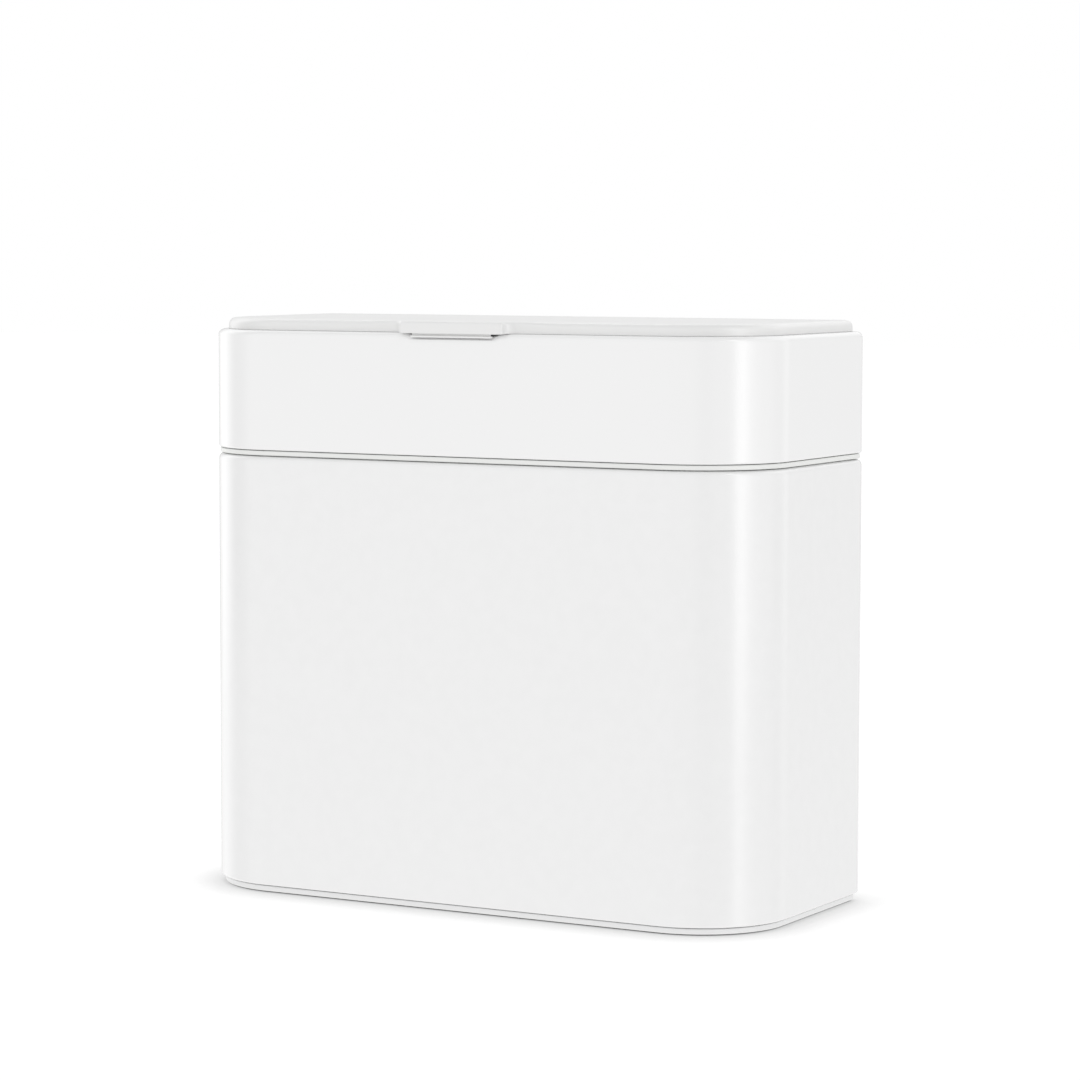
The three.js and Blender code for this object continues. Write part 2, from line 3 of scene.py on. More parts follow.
import bmesh
import bpy
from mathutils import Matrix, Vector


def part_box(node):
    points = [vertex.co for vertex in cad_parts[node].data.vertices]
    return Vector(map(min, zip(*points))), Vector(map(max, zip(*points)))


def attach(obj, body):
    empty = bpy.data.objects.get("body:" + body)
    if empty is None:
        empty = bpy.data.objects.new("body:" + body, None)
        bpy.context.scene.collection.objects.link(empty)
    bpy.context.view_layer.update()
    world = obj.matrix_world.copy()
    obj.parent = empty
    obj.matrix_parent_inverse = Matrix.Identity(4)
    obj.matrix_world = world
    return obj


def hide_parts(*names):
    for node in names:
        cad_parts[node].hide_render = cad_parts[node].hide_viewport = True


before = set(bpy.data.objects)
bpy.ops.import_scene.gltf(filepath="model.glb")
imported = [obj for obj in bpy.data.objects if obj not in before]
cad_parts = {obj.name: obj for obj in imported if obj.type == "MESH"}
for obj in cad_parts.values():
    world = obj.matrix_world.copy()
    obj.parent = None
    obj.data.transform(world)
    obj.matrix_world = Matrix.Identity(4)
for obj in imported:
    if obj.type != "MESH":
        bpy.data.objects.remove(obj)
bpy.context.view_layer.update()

# Camera: a long lens in front of the caddy and to its right, a little above its lid and aimed
# a few degrees down. A small shift keeps the caddy where the photograph frames it.
MM = 0.001
camera_data = bpy.data.cameras.new("camera")
camera_data.sensor_width = 36
camera_data.lens = 123.63
camera_data.shift_x = 0.075
camera_data.shift_y = 0.0046
camera_data.clip_end = 30
camera = bpy.data.objects.new("camera", camera_data)
camera.location = (660.3 * MM, -1175.6 * MM, 242 * MM)
camera.rotation_euler = (math.radians(90 - 4.827), 0, math.radians(30.262))
bpy.context.scene.collection.objects.link(camera)
bpy.context.scene.camera = camera

# Lower shell: the wrap of the body, 0.8 mm sheet steel bent to a flat back and round front
# corners, baked in white powder coat. Its top lip is turned in, and a wide hem is turned in
# below to hold the base. Every piece inside follows the same outline, set in by its distance.
shell_low, shell_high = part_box("lower_shell")
half_width = shell_high[0]
half_depth = (shell_high[1] - shell_low[1]) / 2
middle_y = (shell_high[1] + shell_low[1]) / 2
FRONT_RADIUS = 34.5 * MM
BACK_RADIUS = 6.3 * MM
INNER_BACK_RADIUS = 20 * MM
LEAST_RADIUS = 1.5 * MM
FRONT_STEPS = 24
BACK_STEPS = 10
NEAR = 0.003 * MM
DOUBLES = 0.001 * MM
STACK_FOOT = 1000 * MM
STACK_STEP = 10 * MM
QUARTER = math.pi / 2


def new_piece(name):
    """Starts an empty piece at the origin and opens it in edit mode."""
    if bpy.context.mode != "OBJECT":
        bpy.ops.object.mode_set(mode="OBJECT")
    bpy.ops.object.select_all(action="DESELECT")
    bpy.ops.object.add(type="MESH", enter_editmode=True, location=(0, 0, 0))
    bpy.context.object.name = name
    return bpy.context.object


def pick(kind, test):
    """Selects the vertices, edges or faces in edit mode that pass a test, and no others."""
    bpy.ops.mesh.select_mode(type=kind)
    bpy.ops.mesh.select_all(action="DESELECT")
    mesh = bmesh.from_edit_mesh(bpy.context.object.data)
    parts = {"VERT": mesh.verts, "EDGE": mesh.edges, "FACE": mesh.faces}[kind]
    for part in [part for part in parts if test(part)]:
        part.select_set(True)
    mesh.select_flush_mode()
    bmesh.update_edit_mesh(bpy.context.object.data)


def on_ring(vertex, inset, height, back=BACK_RADIUS):
    """Whether a vertex lies on the body's outline, set in by a distance, at a height."""
    point = vertex.co
    if abs(point.z - height) > NEAR:
        return False
    radius = max((FRONT_RADIUS if point.y < middle_y else back) - inset, LEAST_RADIUS)
    x = abs(point.x) - (half_width - inset - radius)
    y = abs(point.y - middle_y) - (half_depth - inset - radius)
    reach = math.hypot(x, y) if x > 0 and y > 0 else max(x, y)
    return abs(reach - radius) < NEAR


def draw_ring(inset, height, back=BACK_RADIUS):
    """Draws the body's outline as a loop of edges, from a plane with its corners rounded."""
    x, y = half_width - inset, half_depth - inset
    centre = (0, middle_y, height)
    bpy.ops.mesh.select_all(action="DESELECT")
    bpy.ops.mesh.primitive_plane_add(size=2, location=centre)
    bpy.ops.transform.resize(value=(x, y, 1), center_override=centre)
    for side, radius, steps in ((-1, FRONT_RADIUS, FRONT_STEPS), (1, back, BACK_STEPS)):
        corner = (x, middle_y + side * y, height)
        pick("VERT", lambda v: math.dist((abs(v.co.x), v.co.y, v.co.z), corner) < NEAR)
        bpy.ops.mesh.bevel(
            offset=max(radius - inset, LEAST_RADIUS), segments=steps, affect="VERTICES")
    pick("FACE", lambda face: all(on_ring(v, inset, height, back) for v in face.verts))
    bpy.ops.mesh.delete(type="ONLY_FACE")


def pick_rings(*rings):
    """Selects the edges that run along the given rings."""
    pick("EDGE", lambda edge: any(all(on_ring(v, *ring) for v in edge.verts) for ring in rings))


def sweep(rings, closed):
    """Runs a section round the body: bridges its rings in turn, back to the first one if the
    section is closed, or else with a flat face over the first and the last. The rings are
    bridged in a tall stack and then moved to their heights, because two rings that lie level
    can be bridged the wrong way round."""
    stack = [(ring[0], STACK_FOOT + STACK_STEP * place, *ring[2:]) for place, ring in enumerate(rings)]
    for ring in stack:
        draw_ring(*ring)
    for first, second in zip(stack, stack[1:] + stack[:1] if closed else stack[1:]):
        pick_rings(first, second)
        bpy.ops.mesh.bridge_edge_loops()
    if not closed:
        for ring in (stack[0], stack[-1]):
            pick_rings(ring)
            bpy.ops.mesh.edge_face_add()
    for raised, ring in zip(stack, rings):
        pick("VERT", lambda v: on_ring(v, *raised))
        bpy.ops.transform.translate(value=(0, 0, ring[1] - raised[1]))


def arc(inset, height, radius, start, end, steps, *back):
    """Rings on a round edge of the section, from one angle to another about its centre."""
    turns = [start + (end - start) * step / steps for step in range(steps + 1)]
    return [(inset + radius * math.cos(a), height + radius * math.sin(a), *back) for a in turns]


def round_rings(radius, steps, *rings):
    """Rounds the edges that run along the given rings."""
    pick_rings(*rings)
    bpy.ops.mesh.bevel(offset=radius, segments=steps, affect="EDGES", clamp_overlap=True)


def settle():
    """Merges doubles, faces the mesh outwards and leaves edit mode."""
    if bpy.context.mode == "OBJECT":
        bpy.ops.object.mode_set(mode="EDIT")
    bpy.ops.mesh.select_all(action="SELECT")
    bpy.ops.mesh.remove_doubles(threshold=DOUBLES)
    bpy.ops.mesh.normals_make_consistent(inside=False)
    if bmesh.from_edit_mesh(bpy.context.object.data).calc_volume(signed=True) < 0:
        bpy.ops.mesh.flip_normals()
    bpy.ops.object.mode_set(mode="OBJECT")


def hand_over(piece, material, body, node):
    """Shades a piece, with flat faces flat up to their round edges, and puts it in its place."""
    bpy.ops.object.mode_set(mode="OBJECT")
    bpy.ops.object.select_all(action="DESELECT")
    piece.select_set(True)
    bpy.context.view_layer.objects.active = piece
    settle()
    bpy.ops.object.shade_smooth_by_angle(angle=math.radians(40))
    bpy.ops.object.modifier_add(type="WEIGHTED_NORMAL")
    piece.modifiers[-1].keep_sharp = True
    bpy.ops.object.modifier_apply(modifier=piece.modifiers[-1].name)
    piece.data.materials.clear()
    piece.data.materials.append(material)
    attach(piece, body)
    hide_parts(node)


def linear(code):
    """A colour written as six sRGB hex digits, as linear values."""
    parts = [int(code[i:i + 2], 16) / 255 for i in (0, 2, 4)]
    return [c / 12.92 if c <= 0.04045 else ((c + 0.055) / 1.055) ** 2.4 for c in parts] + [1]


def fill(tree, node, inputs):
    """Fills a node's inputs with values or with other nodes' outputs."""
    for name, value in inputs.items():
        if isinstance(value, bpy.types.NodeSocket):
            tree.links.new(value, node.inputs[name])
        else:
            node.inputs[name].default_value = value


def add_node(tree, kind, inputs, **settings):
    """Adds a node, sets its properties and fills its inputs."""
    node = tree.nodes.new(kind)
    for name, value in settings.items():
        setattr(node, name, value)
    fill(tree, node, inputs)
    return node.outputs


def start_material(name):
    """Starts a material: gives it, its tree, its shader and the place on the piece."""
    material = bpy.data.materials.new(name)
    material.use_nodes = True
    tree = material.node_tree
    place = add_node(tree, "ShaderNodeTexCoord", {})["Object"]
    return material, tree, tree.nodes["Principled BSDF"], place


# White powder coat, baked on steel: one even white with a soft gloss. The powder melts to a
# faint orange peel, with waves about 2 mm apart, and to a mottle that is barely there.
powder_coat, tree, shader, place = start_material("white_powder_coat_baked")
mottle = add_node(tree, "ShaderNodeTexNoise", {"Vector": place, "Scale": 1 / (5 * MM), "Detail": 3.0})
tone = add_node(tree, "ShaderNodeMix", {
    "Factor": mottle["Fac"], 6: linear("EDEDED"), 7: linear("F1F1F1")}, data_type="RGBA")
grain = add_node(tree, "ShaderNodeTexNoise", {"Vector": place, "Scale": 1 / (2 * MM), "Detail": 2.0})
bump = add_node(tree, "ShaderNodeBump", {
    "Height": grain["Fac"], "Strength": 0.1, "Distance": 0.02 * MM})
fill(tree, shader, {"Base Color": tone[2], "Normal": bump["Normal"], "Roughness": 0.2})

SHELL_SHEET = 0.8 * MM
SHELL_LIP = 2.6 * MM
SHELL_HEM = 8 * MM
SHELL_LIP_EDGE = 2.1 * MM
SHELL_FOOT_EDGE = 1 * MM
low, high = shell_low[2], shell_high[2]
lower_shell = new_piece("lower_shell_steel")
sweep([(0, low), (0, high), (SHELL_LIP, high), (SHELL_LIP, high - SHELL_SHEET),
       (SHELL_SHEET, high - SHELL_SHEET), (SHELL_SHEET, low + SHELL_SHEET),
       (SHELL_HEM, low + SHELL_SHEET), (SHELL_HEM, low)], closed=True)
round_rings(SHELL_FOOT_EDGE, 5, (0, low))
round_rings(SHELL_LIP_EDGE, 8, (0, high))
hand_over(lower_shell, powder_coat, "lower_body", "lower_shell")

# Guide ring: a moulded polypropylene ring that snaps in just below the shell's lip. It keeps
# the bucket off the steel when it is lifted out and put back.
collar_low, collar_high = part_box("shell_collar")
COLLAR_WALL = 2.2 * MM
COLLAR_EDGE = 0.6 * MM
collar_outer = half_width - collar_high[0]
collar_inner = collar_outer + COLLAR_WALL

# White polypropylene, moulded: a soft white that is a little grey, with a satin skin and
# the fine even texture of an etched mould.
polypropylene, tree, shader, place = start_material("white_polypropylene_moulded")
patches = add_node(tree, "ShaderNodeTexNoise", {"Vector": place, "Scale": 1 / (40 * MM), "Detail": 1.0})
tone = add_node(tree, "ShaderNodeMix", {
    "Factor": patches["Fac"], 6: linear("E6E7E5"), 7: linear("EAEBE9")}, data_type="RGBA")
grain = add_node(tree, "ShaderNodeTexNoise", {"Vector": place, "Scale": 1 / (0.5 * MM), "Detail": 1.0})
bump = add_node(tree, "ShaderNodeBump", {
    "Height": grain["Fac"], "Strength": 0.2, "Distance": 0.02 * MM})
fill(tree, shader, {"Base Color": tone[2], "Normal": bump["Normal"], "Roughness": 0.45})

guide_ring = new_piece("bucket_guide_ring")
low, high = collar_low[2], collar_high[2]
sweep([(collar_outer, low), (collar_outer, high), (collar_inner, high), (collar_inner, low)],
      closed=True)
round_rings(COLLAR_EDGE, 4, (collar_inner, high), (collar_inner, low))
hand_over(guide_ring, polypropylene, "lower_body", "shell_collar")

# Floor plate: a plate of zinc plated steel that lies on the shell's hem. It closes the shell
# and weights it, and the base screws bite in its four holes.
plate_low, plate_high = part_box("floor_plate")
screw_boxes = [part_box(f"base_screw_{number}") for number in range(1, 5)]
BASE_SCREW_SHANK = 1.5 * MM
FIT_GAP = 0.3 * MM


def centre_of(box):
    """The middle of a box, seen from above."""
    return (box[0][0] + box[1][0]) / 2, (box[0][1] + box[1][1]) / 2


def add_barrel(radius, start, end, sides=48):
    """Adds a closed cylinder to the mesh in edit mode, between two points along X or Z."""
    along_x = abs(end[0] - start[0]) > NEAR
    middle = [(a + b) / 2 for a, b in zip(start, end)]
    bpy.ops.mesh.select_all(action="DESELECT")
    bpy.ops.mesh.primitive_cylinder_add(
        vertices=sides, radius=radius, depth=math.dist(start, end), end_fill_type="NGON",
        location=middle, rotation=(0, QUARTER if along_x else 0, 0))


def add_block(low, high):
    """Adds a closed box to the mesh in edit mode, between two corners."""
    middle = [(a + b) / 2 for a, b in zip(low, high)]
    bpy.ops.mesh.select_all(action="DESELECT")
    bpy.ops.mesh.primitive_cube_add(size=1, location=middle)
    bpy.ops.transform.resize(value=[b - a for a, b in zip(low, high)], center_override=middle)


def combine(piece, other, operation):
    """Joins another solid to a piece, or cuts it out of it, and deletes the other."""
    settle()
    bpy.ops.object.select_all(action="DESELECT")
    bpy.context.view_layer.objects.active = piece
    bpy.ops.object.modifier_add(type="BOOLEAN")
    boolean = piece.modifiers[-1]
    boolean.object = other
    boolean.operation = operation
    boolean.solver = "EXACT"
    bpy.ops.object.modifier_apply(modifier=boolean.name)
    bpy.data.objects.remove(other)


# Zinc plated steel: a cool grey metal whose plating gives a soft sheen in faint patches.
zinc, tree, shader, place = start_material("zinc_plated_steel")
patches = add_node(tree, "ShaderNodeTexNoise", {"Vector": place, "Scale": 1 / (6 * MM), "Detail": 3.0})
tone = add_node(tree, "ShaderNodeMix", {
    "Factor": patches["Fac"], 6: linear("B4B9BC"), 7: linear("C4C8CA")}, data_type="RGBA")
grain = add_node(tree, "ShaderNodeTexNoise", {"Vector": place, "Scale": 1 / (0.8 * MM), "Detail": 2.0})
bump = add_node(tree, "ShaderNodeBump", {
    "Height": grain["Fac"], "Strength": 0.15, "Distance": 0.01 * MM})
fill(tree, shader, {"Base Color": tone[2], "Normal": bump["Normal"], "Roughness": 0.42, "Metallic": 1.0})

floor_plate = new_piece("floor_plate_zinc_plated")
plate_inset = half_width - plate_high[0]
sweep([(plate_inset, plate_low[2]), (plate_inset, plate_high[2])], closed=False)
settle()
holes = new_piece("holes")
for box in screw_boxes:
    x, y = centre_of(box)
    add_barrel(BASE_SCREW_SHANK + FIT_GAP, (x, y, plate_low[2] - MM), (x, y, plate_high[2] + MM))
combine(floor_plate, holes, "DIFFERENCE")
hand_over(floor_plate, zinc, "lower_body", "floor_plate")

# Base tray: the moulded base below the shell. Its edge shows as a thin trim, its raised middle
# fills the hem, and below it has sunk seats for the feet and for the screws' heads.
tray_low, tray_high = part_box("base_tray")
tray_inset = half_width - tray_high[0]
TRIM_HEIGHT = 2 * MM
TRIM_FOOT_EDGE = 0.5 * MM
TRIM_EDGE = 0.3 * MM
FOOT_SEAT = 1.4 * MM
foot_boxes = [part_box(f"foot_{number}") for number in range(1, 5)]
foot_radius = (foot_boxes[0][1][0] - foot_boxes[0][0][0]) / 2
screw_head = (screw_boxes[0][1][0] - screw_boxes[0][0][0]) / 2
BASE_SCREW_HEAD = 1.1 * MM

# Pale grey ABS, moulded: a shade darker than the paint, with a dull fine texture.
grey_abs, tree, shader, place = start_material("pale_grey_abs_moulded")
patches = add_node(tree, "ShaderNodeTexNoise", {"Vector": place, "Scale": 1 / (30 * MM), "Detail": 1.0})
tone = add_node(tree, "ShaderNodeMix", {
    "Factor": patches["Fac"], 6: linear("E6E6E6"), 7: linear("E9E9E9")}, data_type="RGBA")
grain = add_node(tree, "ShaderNodeTexNoise", {"Vector": place, "Scale": 1 / (0.4 * MM), "Detail": 1.0})
bump = add_node(tree, "ShaderNodeBump", {
    "Height": grain["Fac"], "Strength": 0.2, "Distance": 0.02 * MM})
fill(tree, shader, {"Base Color": tone[2], "Normal": bump["Normal"], "Roughness": 0.5})

base_tray = new_piece("base_tray_abs")
low, raised = tray_low[2], tray_high[2]
raised_inset = SHELL_HEM + FIT_GAP
sweep([(tray_inset, low), (tray_inset, low + TRIM_HEIGHT), (raised_inset, low + TRIM_HEIGHT),
       (raised_inset, raised)], closed=False)
round_rings(TRIM_FOOT_EDGE, 4, (tray_inset, low))
round_rings(TRIM_EDGE, 3, (tray_inset, low + TRIM_HEIGHT), (raised_inset, raised))
settle()
for boxes, radius, top in ((foot_boxes, foot_radius, low + FOOT_SEAT),
                           (screw_boxes, screw_head, low + BASE_SCREW_HEAD + 2 * FIT_GAP),
                           (screw_boxes, BASE_SCREW_SHANK, raised + MM)):
    seats = new_piece("seats")
    for box in boxes:
        x, y = centre_of(box)
        add_barrel(radius + FIT_GAP, (x, y, low - MM), (x, y, top))
    combine(base_tray, seats, "DIFFERENCE")
hand_over(base_tray, grey_abs, "lower_body", "base_tray")

# Base screws: four pan head screws of zinc plated steel, driven from below through the base
# tray and the hem's opening into the floor plate. Each has a cross recess for the driver,
# given here as shares of the head's radius and height.
RECESS_REACH = 0.56
RECESS_WIDTH = 0.12
RECESS_DEPTH = 0.7


def copy_piece(piece, name, offset):
    """Copies a piece with its mesh, and moves the copy's mesh by an offset."""
    bpy.ops.object.select_all(action="DESELECT")
    piece.select_set(True)
    bpy.context.view_layer.objects.active = piece
    bpy.ops.object.duplicate(linked=False)
    copy = bpy.context.object
    copy.name = name
    bpy.ops.object.mode_set(mode="EDIT")
    bpy.ops.mesh.select_all(action="SELECT")
    bpy.ops.transform.translate(value=offset)
    bpy.ops.object.mode_set(mode="OBJECT")
    return copy


def hand_over_copies(first, boxes, material, body, node):
    """Copies a piece from the first of some boxes to the others, and hands all of them over."""
    x, y = centre_of(boxes[0])
    pieces = [first]
    for number, box in enumerate(boxes[1:], start=2):
        other_x, other_y = centre_of(box)
        pieces.append(copy_piece(first, f"{first.name[:-1]}{number}", (other_x - x, other_y - y, 0)))
    for number, piece in enumerate(pieces, start=1):
        hand_over(piece, material, body, f"{node}_{number}")


def pick_flat(height):
    """Selects the level faces at a height."""
    pick("FACE", lambda face: all(abs(v.co.z - height) < NEAR for v in face.verts))


def extrude_up(rise):
    """Extrudes the selected faces by a rise along Z."""
    bpy.ops.mesh.extrude_region_move(TRANSFORM_OT_translate={"value": (0, 0, rise)})


def pan_head_screw(name, box, head_height, shank):
    """A pan head screw with its head below and its point up, on the middle of a box."""
    (x, y), bottom, tip = centre_of(box), box[0][2], box[1][2]
    head = (box[1][0] - box[0][0]) / 2
    screw = new_piece(name)
    add_barrel(head, (x, y, bottom), (x, y, bottom + head_height))
    pick_flat(bottom + head_height)
    bpy.ops.mesh.inset(thickness=head - shank)
    extrude_up(tip - shank / 2 - bottom - head_height)
    extrude_up(shank / 2)
    bpy.ops.transform.resize(value=(0.5, 0.5, 1), center_override=(x, y, tip))
    pick("EDGE", lambda edge: all(abs(v.co.z - bottom) < NEAR for v in edge.verts))
    bpy.ops.mesh.bevel(offset=head_height / 2, segments=5, affect="EDGES")
    settle()
    long, short, depth = head * RECESS_REACH, head * RECESS_WIDTH, head_height * RECESS_DEPTH
    for along, across in ((long, short), (short, long)):
        slot = new_piece("slot")
        add_block((x - along, y - across, bottom - MM), (x + along, y + across, bottom + depth))
        combine(screw, slot, "DIFFERENCE")
    return screw


base_screw = pan_head_screw("base_screw_zinc_1", screw_boxes[0], BASE_SCREW_HEAD, BASE_SCREW_SHANK)
hand_over_copies(base_screw, screw_boxes, zinc, "lower_body", "base_screw")

# Feet: four soft rubber pads, moulded, pressed into the seats of the base tray. They lift the
# base half a millimetre and keep the caddy from sliding.
FOOT_RIM = 2.4 * MM
FOOT_DISH = 0.3 * MM
FOOT_EDGE = 0.4 * MM

# Grey rubber, moulded: the one dark tone below, dull and finely rough.
rubber, tree, shader, place = start_material("grey_rubber_moulded")
patches = add_node(tree, "ShaderNodeTexNoise", {"Vector": place, "Scale": 1 / (3 * MM), "Detail": 2.0})
tone = add_node(tree, "ShaderNodeMix", {
    "Factor": patches["Fac"], 6: linear("85878A"), 7: linear("8F9193")}, data_type="RGBA")
grain = add_node(tree, "ShaderNodeTexNoise", {"Vector": place, "Scale": 1 / (0.5 * MM), "Detail": 1.0})
bump = add_node(tree, "ShaderNodeBump", {
    "Height": grain["Fac"], "Strength": 0.3, "Distance": 0.03 * MM})
fill(tree, shader, {"Base Color": tone[2], "Normal": bump["Normal"], "Roughness": 0.8})

x, y = centre_of(foot_boxes[0])
foot_top = foot_boxes[0][1][2]
foot = new_piece("foot_rubber_1")
add_barrel(foot_radius, (x, y, 0), (x, y, foot_top))
pick_flat(0)
bpy.ops.mesh.inset(thickness=FOOT_RIM)
extrude_up(FOOT_DISH)
pick("EDGE", lambda edge: all(abs(v.co.z) < NEAR for v in edge.verts)
     and all(math.dist((v.co.x, v.co.y), (x, y)) > foot_radius - NEAR for v in edge.verts))
bpy.ops.mesh.bevel(offset=FOOT_EDGE, segments=4, affect="EDGES")
settle()
hand_over_copies(foot, foot_boxes, rubber, "lower_body", "foot")

# Inner bucket: a moulded polypropylene tub that tapers to a round-edged floor. Its flange sits
# on the shell's lip, where it shows as a thin light strip, and two bosses inside hold the bail.
# The flange is a little thicker than its solid, so that the seam below it closes up.
bucket_low, bucket_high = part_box("inner_bucket")
wire_low, wire_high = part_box("bail_wire")
WIRE_RADIUS = 1.75 * MM
PIVOT_GAP = 0.4 * MM
BUCKET_WALL = 1.8 * MM
BUCKET_FLOOR = 2 * MM
BUCKET_TAPER = 3 * MM
BUCKET_TURN = 12 * MM
BUCKET_CLEARANCE = 0.7 * MM
BUCKET_EDGE = 0.5 * MM
FLANGE = 1.72 * MM
BOSS_RADIUS = 6 * MM
BOSS_ROOT = 0.4 * MM
CUT_MARGIN = 2 * MM
THROAT_INSET = 8.5 * MM
BAIL_SIDE_GAP = 0.7 * MM
flange_inset = half_width - bucket_high[0]
bucket_outer = collar_inner + BUCKET_CLEARANCE
bucket_inner = bucket_outer + BUCKET_WALL
bucket_foot = bucket_outer + BUCKET_TAPER + BUCKET_TURN
inner_turn = BUCKET_TURN - BUCKET_WALL
low, high = bucket_low[2], bucket_high[2]
inner_bucket = new_piece("inner_bucket_polypropylene")
sweep([*arc(bucket_foot, low + BUCKET_TURN, BUCKET_TURN, -QUARTER, -2 * QUARTER, 10,
            INNER_BACK_RADIUS),
       (bucket_outer, high - FLANGE, INNER_BACK_RADIUS), (flange_inset, high - FLANGE),
       (flange_inset, high), (bucket_inner, high, INNER_BACK_RADIUS),
       *arc(bucket_foot, low + BUCKET_FLOOR + inner_turn, inner_turn, 2 * QUARTER, 3 * QUARTER, 10,
            INNER_BACK_RADIUS)], closed=False)
round_rings(BUCKET_EDGE, 5, (flange_inset, high - FLANGE), (flange_inset, high),
            (bucket_inner, high, INNER_BACK_RADIUS))
settle()
pivot_y = middle_y
pivot_z = (wire_low[2] + wire_high[2]) / 2
boss_end = wire_high[0] + PIVOT_GAP
arm_x = half_width - THROAT_INSET - BAIL_SIDE_GAP - WIRE_RADIUS
boss_face = arm_x + WIRE_RADIUS + PIVOT_GAP
for operation, radius, start, end in (
        ("UNION", BOSS_RADIUS, boss_face, boss_end + BOSS_ROOT),
        ("DIFFERENCE", WIRE_RADIUS + PIVOT_GAP, boss_face - CUT_MARGIN, boss_end)):
    bosses = new_piece("bosses")
    for side in (-1, 1):
        add_barrel(radius, (side * start, pivot_y, pivot_z), (side * end, pivot_y, pivot_z))
    settle()
    combine(inner_bucket, bosses, operation)
hand_over(inner_bucket, polypropylene, "bucket", "inner_bucket")

# Bail: 3.5 mm stainless wire, drawn bright and bent in a flat U. Its ends are turned out into
# the bosses of the bucket, and it lies level below the rim until it is swung up.
GRIP_RADIUS = 4.5 * MM
BAIL_CORNER = 24 * MM
BAIL_END_BEND = 2.5 * MM
WIRE_END_EDGE = 0.3 * MM
grip_low, grip_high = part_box("bail_grip")
front_y = (grip_low[1] + grip_high[1]) / 2

# Bright stainless, drawn: a clear metal sheen, which the fine grain that drawing leaves softens
# a little.
stainless, tree, shader, place = start_material("stainless_steel_drawn_bright")
patches = add_node(tree, "ShaderNodeTexNoise", {"Vector": place, "Scale": 1 / (8 * MM), "Detail": 2.0})
tone = add_node(tree, "ShaderNodeMix", {
    "Factor": patches["Fac"], 6: linear("C4C6C7"), 7: linear("CECFD0")}, data_type="RGBA")
grain = add_node(tree, "ShaderNodeTexNoise", {"Vector": place, "Scale": 1 / (0.4 * MM), "Detail": 1.0})
bump = add_node(tree, "ShaderNodeBump", {
    "Height": grain["Fac"], "Strength": 0.1, "Distance": 0.01 * MM})
fill(tree, shader, {"Base Color": tone[2], "Normal": bump["Normal"], "Roughness": 0.28, "Metallic": 1.0})


def bend(centre, angle, steps):
    """Spins the selected end of the wire about a point, in the level plane."""
    bpy.ops.mesh.spin(steps=steps, angle=angle, center=(*centre, pivot_z), axis=(0, 0, 1))


def draw_on(shift):
    """Draws the selected end of the wire on along a straight."""
    bpy.ops.mesh.extrude_region_move(TRANSFORM_OT_translate={"value": (*shift, 0)})


bail_wire = new_piece("bail_wire_stainless")
bpy.ops.mesh.primitive_circle_add(
    vertices=24, radius=WIRE_RADIUS, fill_type="NOTHING",
    location=(wire_high[0], pivot_y, pivot_z), rotation=(0, QUARTER, 0))
bend_x = arm_x + BAIL_END_BEND
corner_x = arm_x - BAIL_CORNER
draw_on((bend_x - wire_high[0], 0))
bend((bend_x, pivot_y - BAIL_END_BEND), -QUARTER, 8)
draw_on((0, front_y + BAIL_CORNER - pivot_y + BAIL_END_BEND))
bend((corner_x, front_y + BAIL_CORNER), QUARTER, 24)
draw_on((-2 * corner_x, 0))
bend((-corner_x, front_y + BAIL_CORNER), QUARTER, 24)
draw_on((0, pivot_y - BAIL_END_BEND - front_y - BAIL_CORNER))
bend((-bend_x, pivot_y - BAIL_END_BEND), -QUARTER, 8)
draw_on((bend_x - wire_high[0], 0))
for end in (wire_high[0], wire_low[0]):
    pick("EDGE", lambda edge: all(abs(v.co.x - end) < NEAR for v in edge.verts))
    bpy.ops.mesh.edge_face_add()
    bpy.ops.mesh.bevel(offset=WIRE_END_EDGE, segments=3, affect="EDGES")
hand_over(bail_wire, stainless, "bail", "bail_wire")

# Bail grip: a moulded ABS sleeve on the front bar of the bail, with round ends and seven
# shallow grooves for the fingers.
GRIP_END_EDGE = 1 * MM
GROOVE_PITCH = 10 * MM
GROOVE_HALF = 1.6 * MM
GROOVE_SHARE = 0.92
grip = new_piece("bail_grip_abs")
add_barrel(GRIP_RADIUS, (grip_low[0], front_y, pivot_z), (grip_high[0], front_y, pivot_z))
pick("EDGE", lambda edge: all(abs(abs(v.co.x) - grip_high[0]) < NEAR for v in edge.verts))
bpy.ops.mesh.bevel(offset=GRIP_END_EDGE, segments=5, affect="EDGES")
for number in range(-3, 4):
    groove_x = GROOVE_PITCH * number
    for side in (-GROOVE_HALF, 0, GROOVE_HALF):
        bpy.ops.mesh.select_all(action="SELECT")
        bpy.ops.mesh.bisect(plane_co=(groove_x + side, 0, 0), plane_no=(1, 0, 0))
    pick("VERT", lambda v: abs(v.co.x - groove_x) < NEAR)
    bpy.ops.transform.resize(
        value=(1, GROOVE_SHARE, GROOVE_SHARE), center_override=(0, front_y, pivot_z))
settle()
bore = new_piece("bore")
add_barrel(WIRE_RADIUS + FIT_GAP, (grip_low[0] - MM, front_y, pivot_z),
           (grip_high[0] + MM, front_y, pivot_z))
combine(grip, bore, "DIFFERENCE")
hand_over(grip, grey_abs, "bail", "bail_grip")

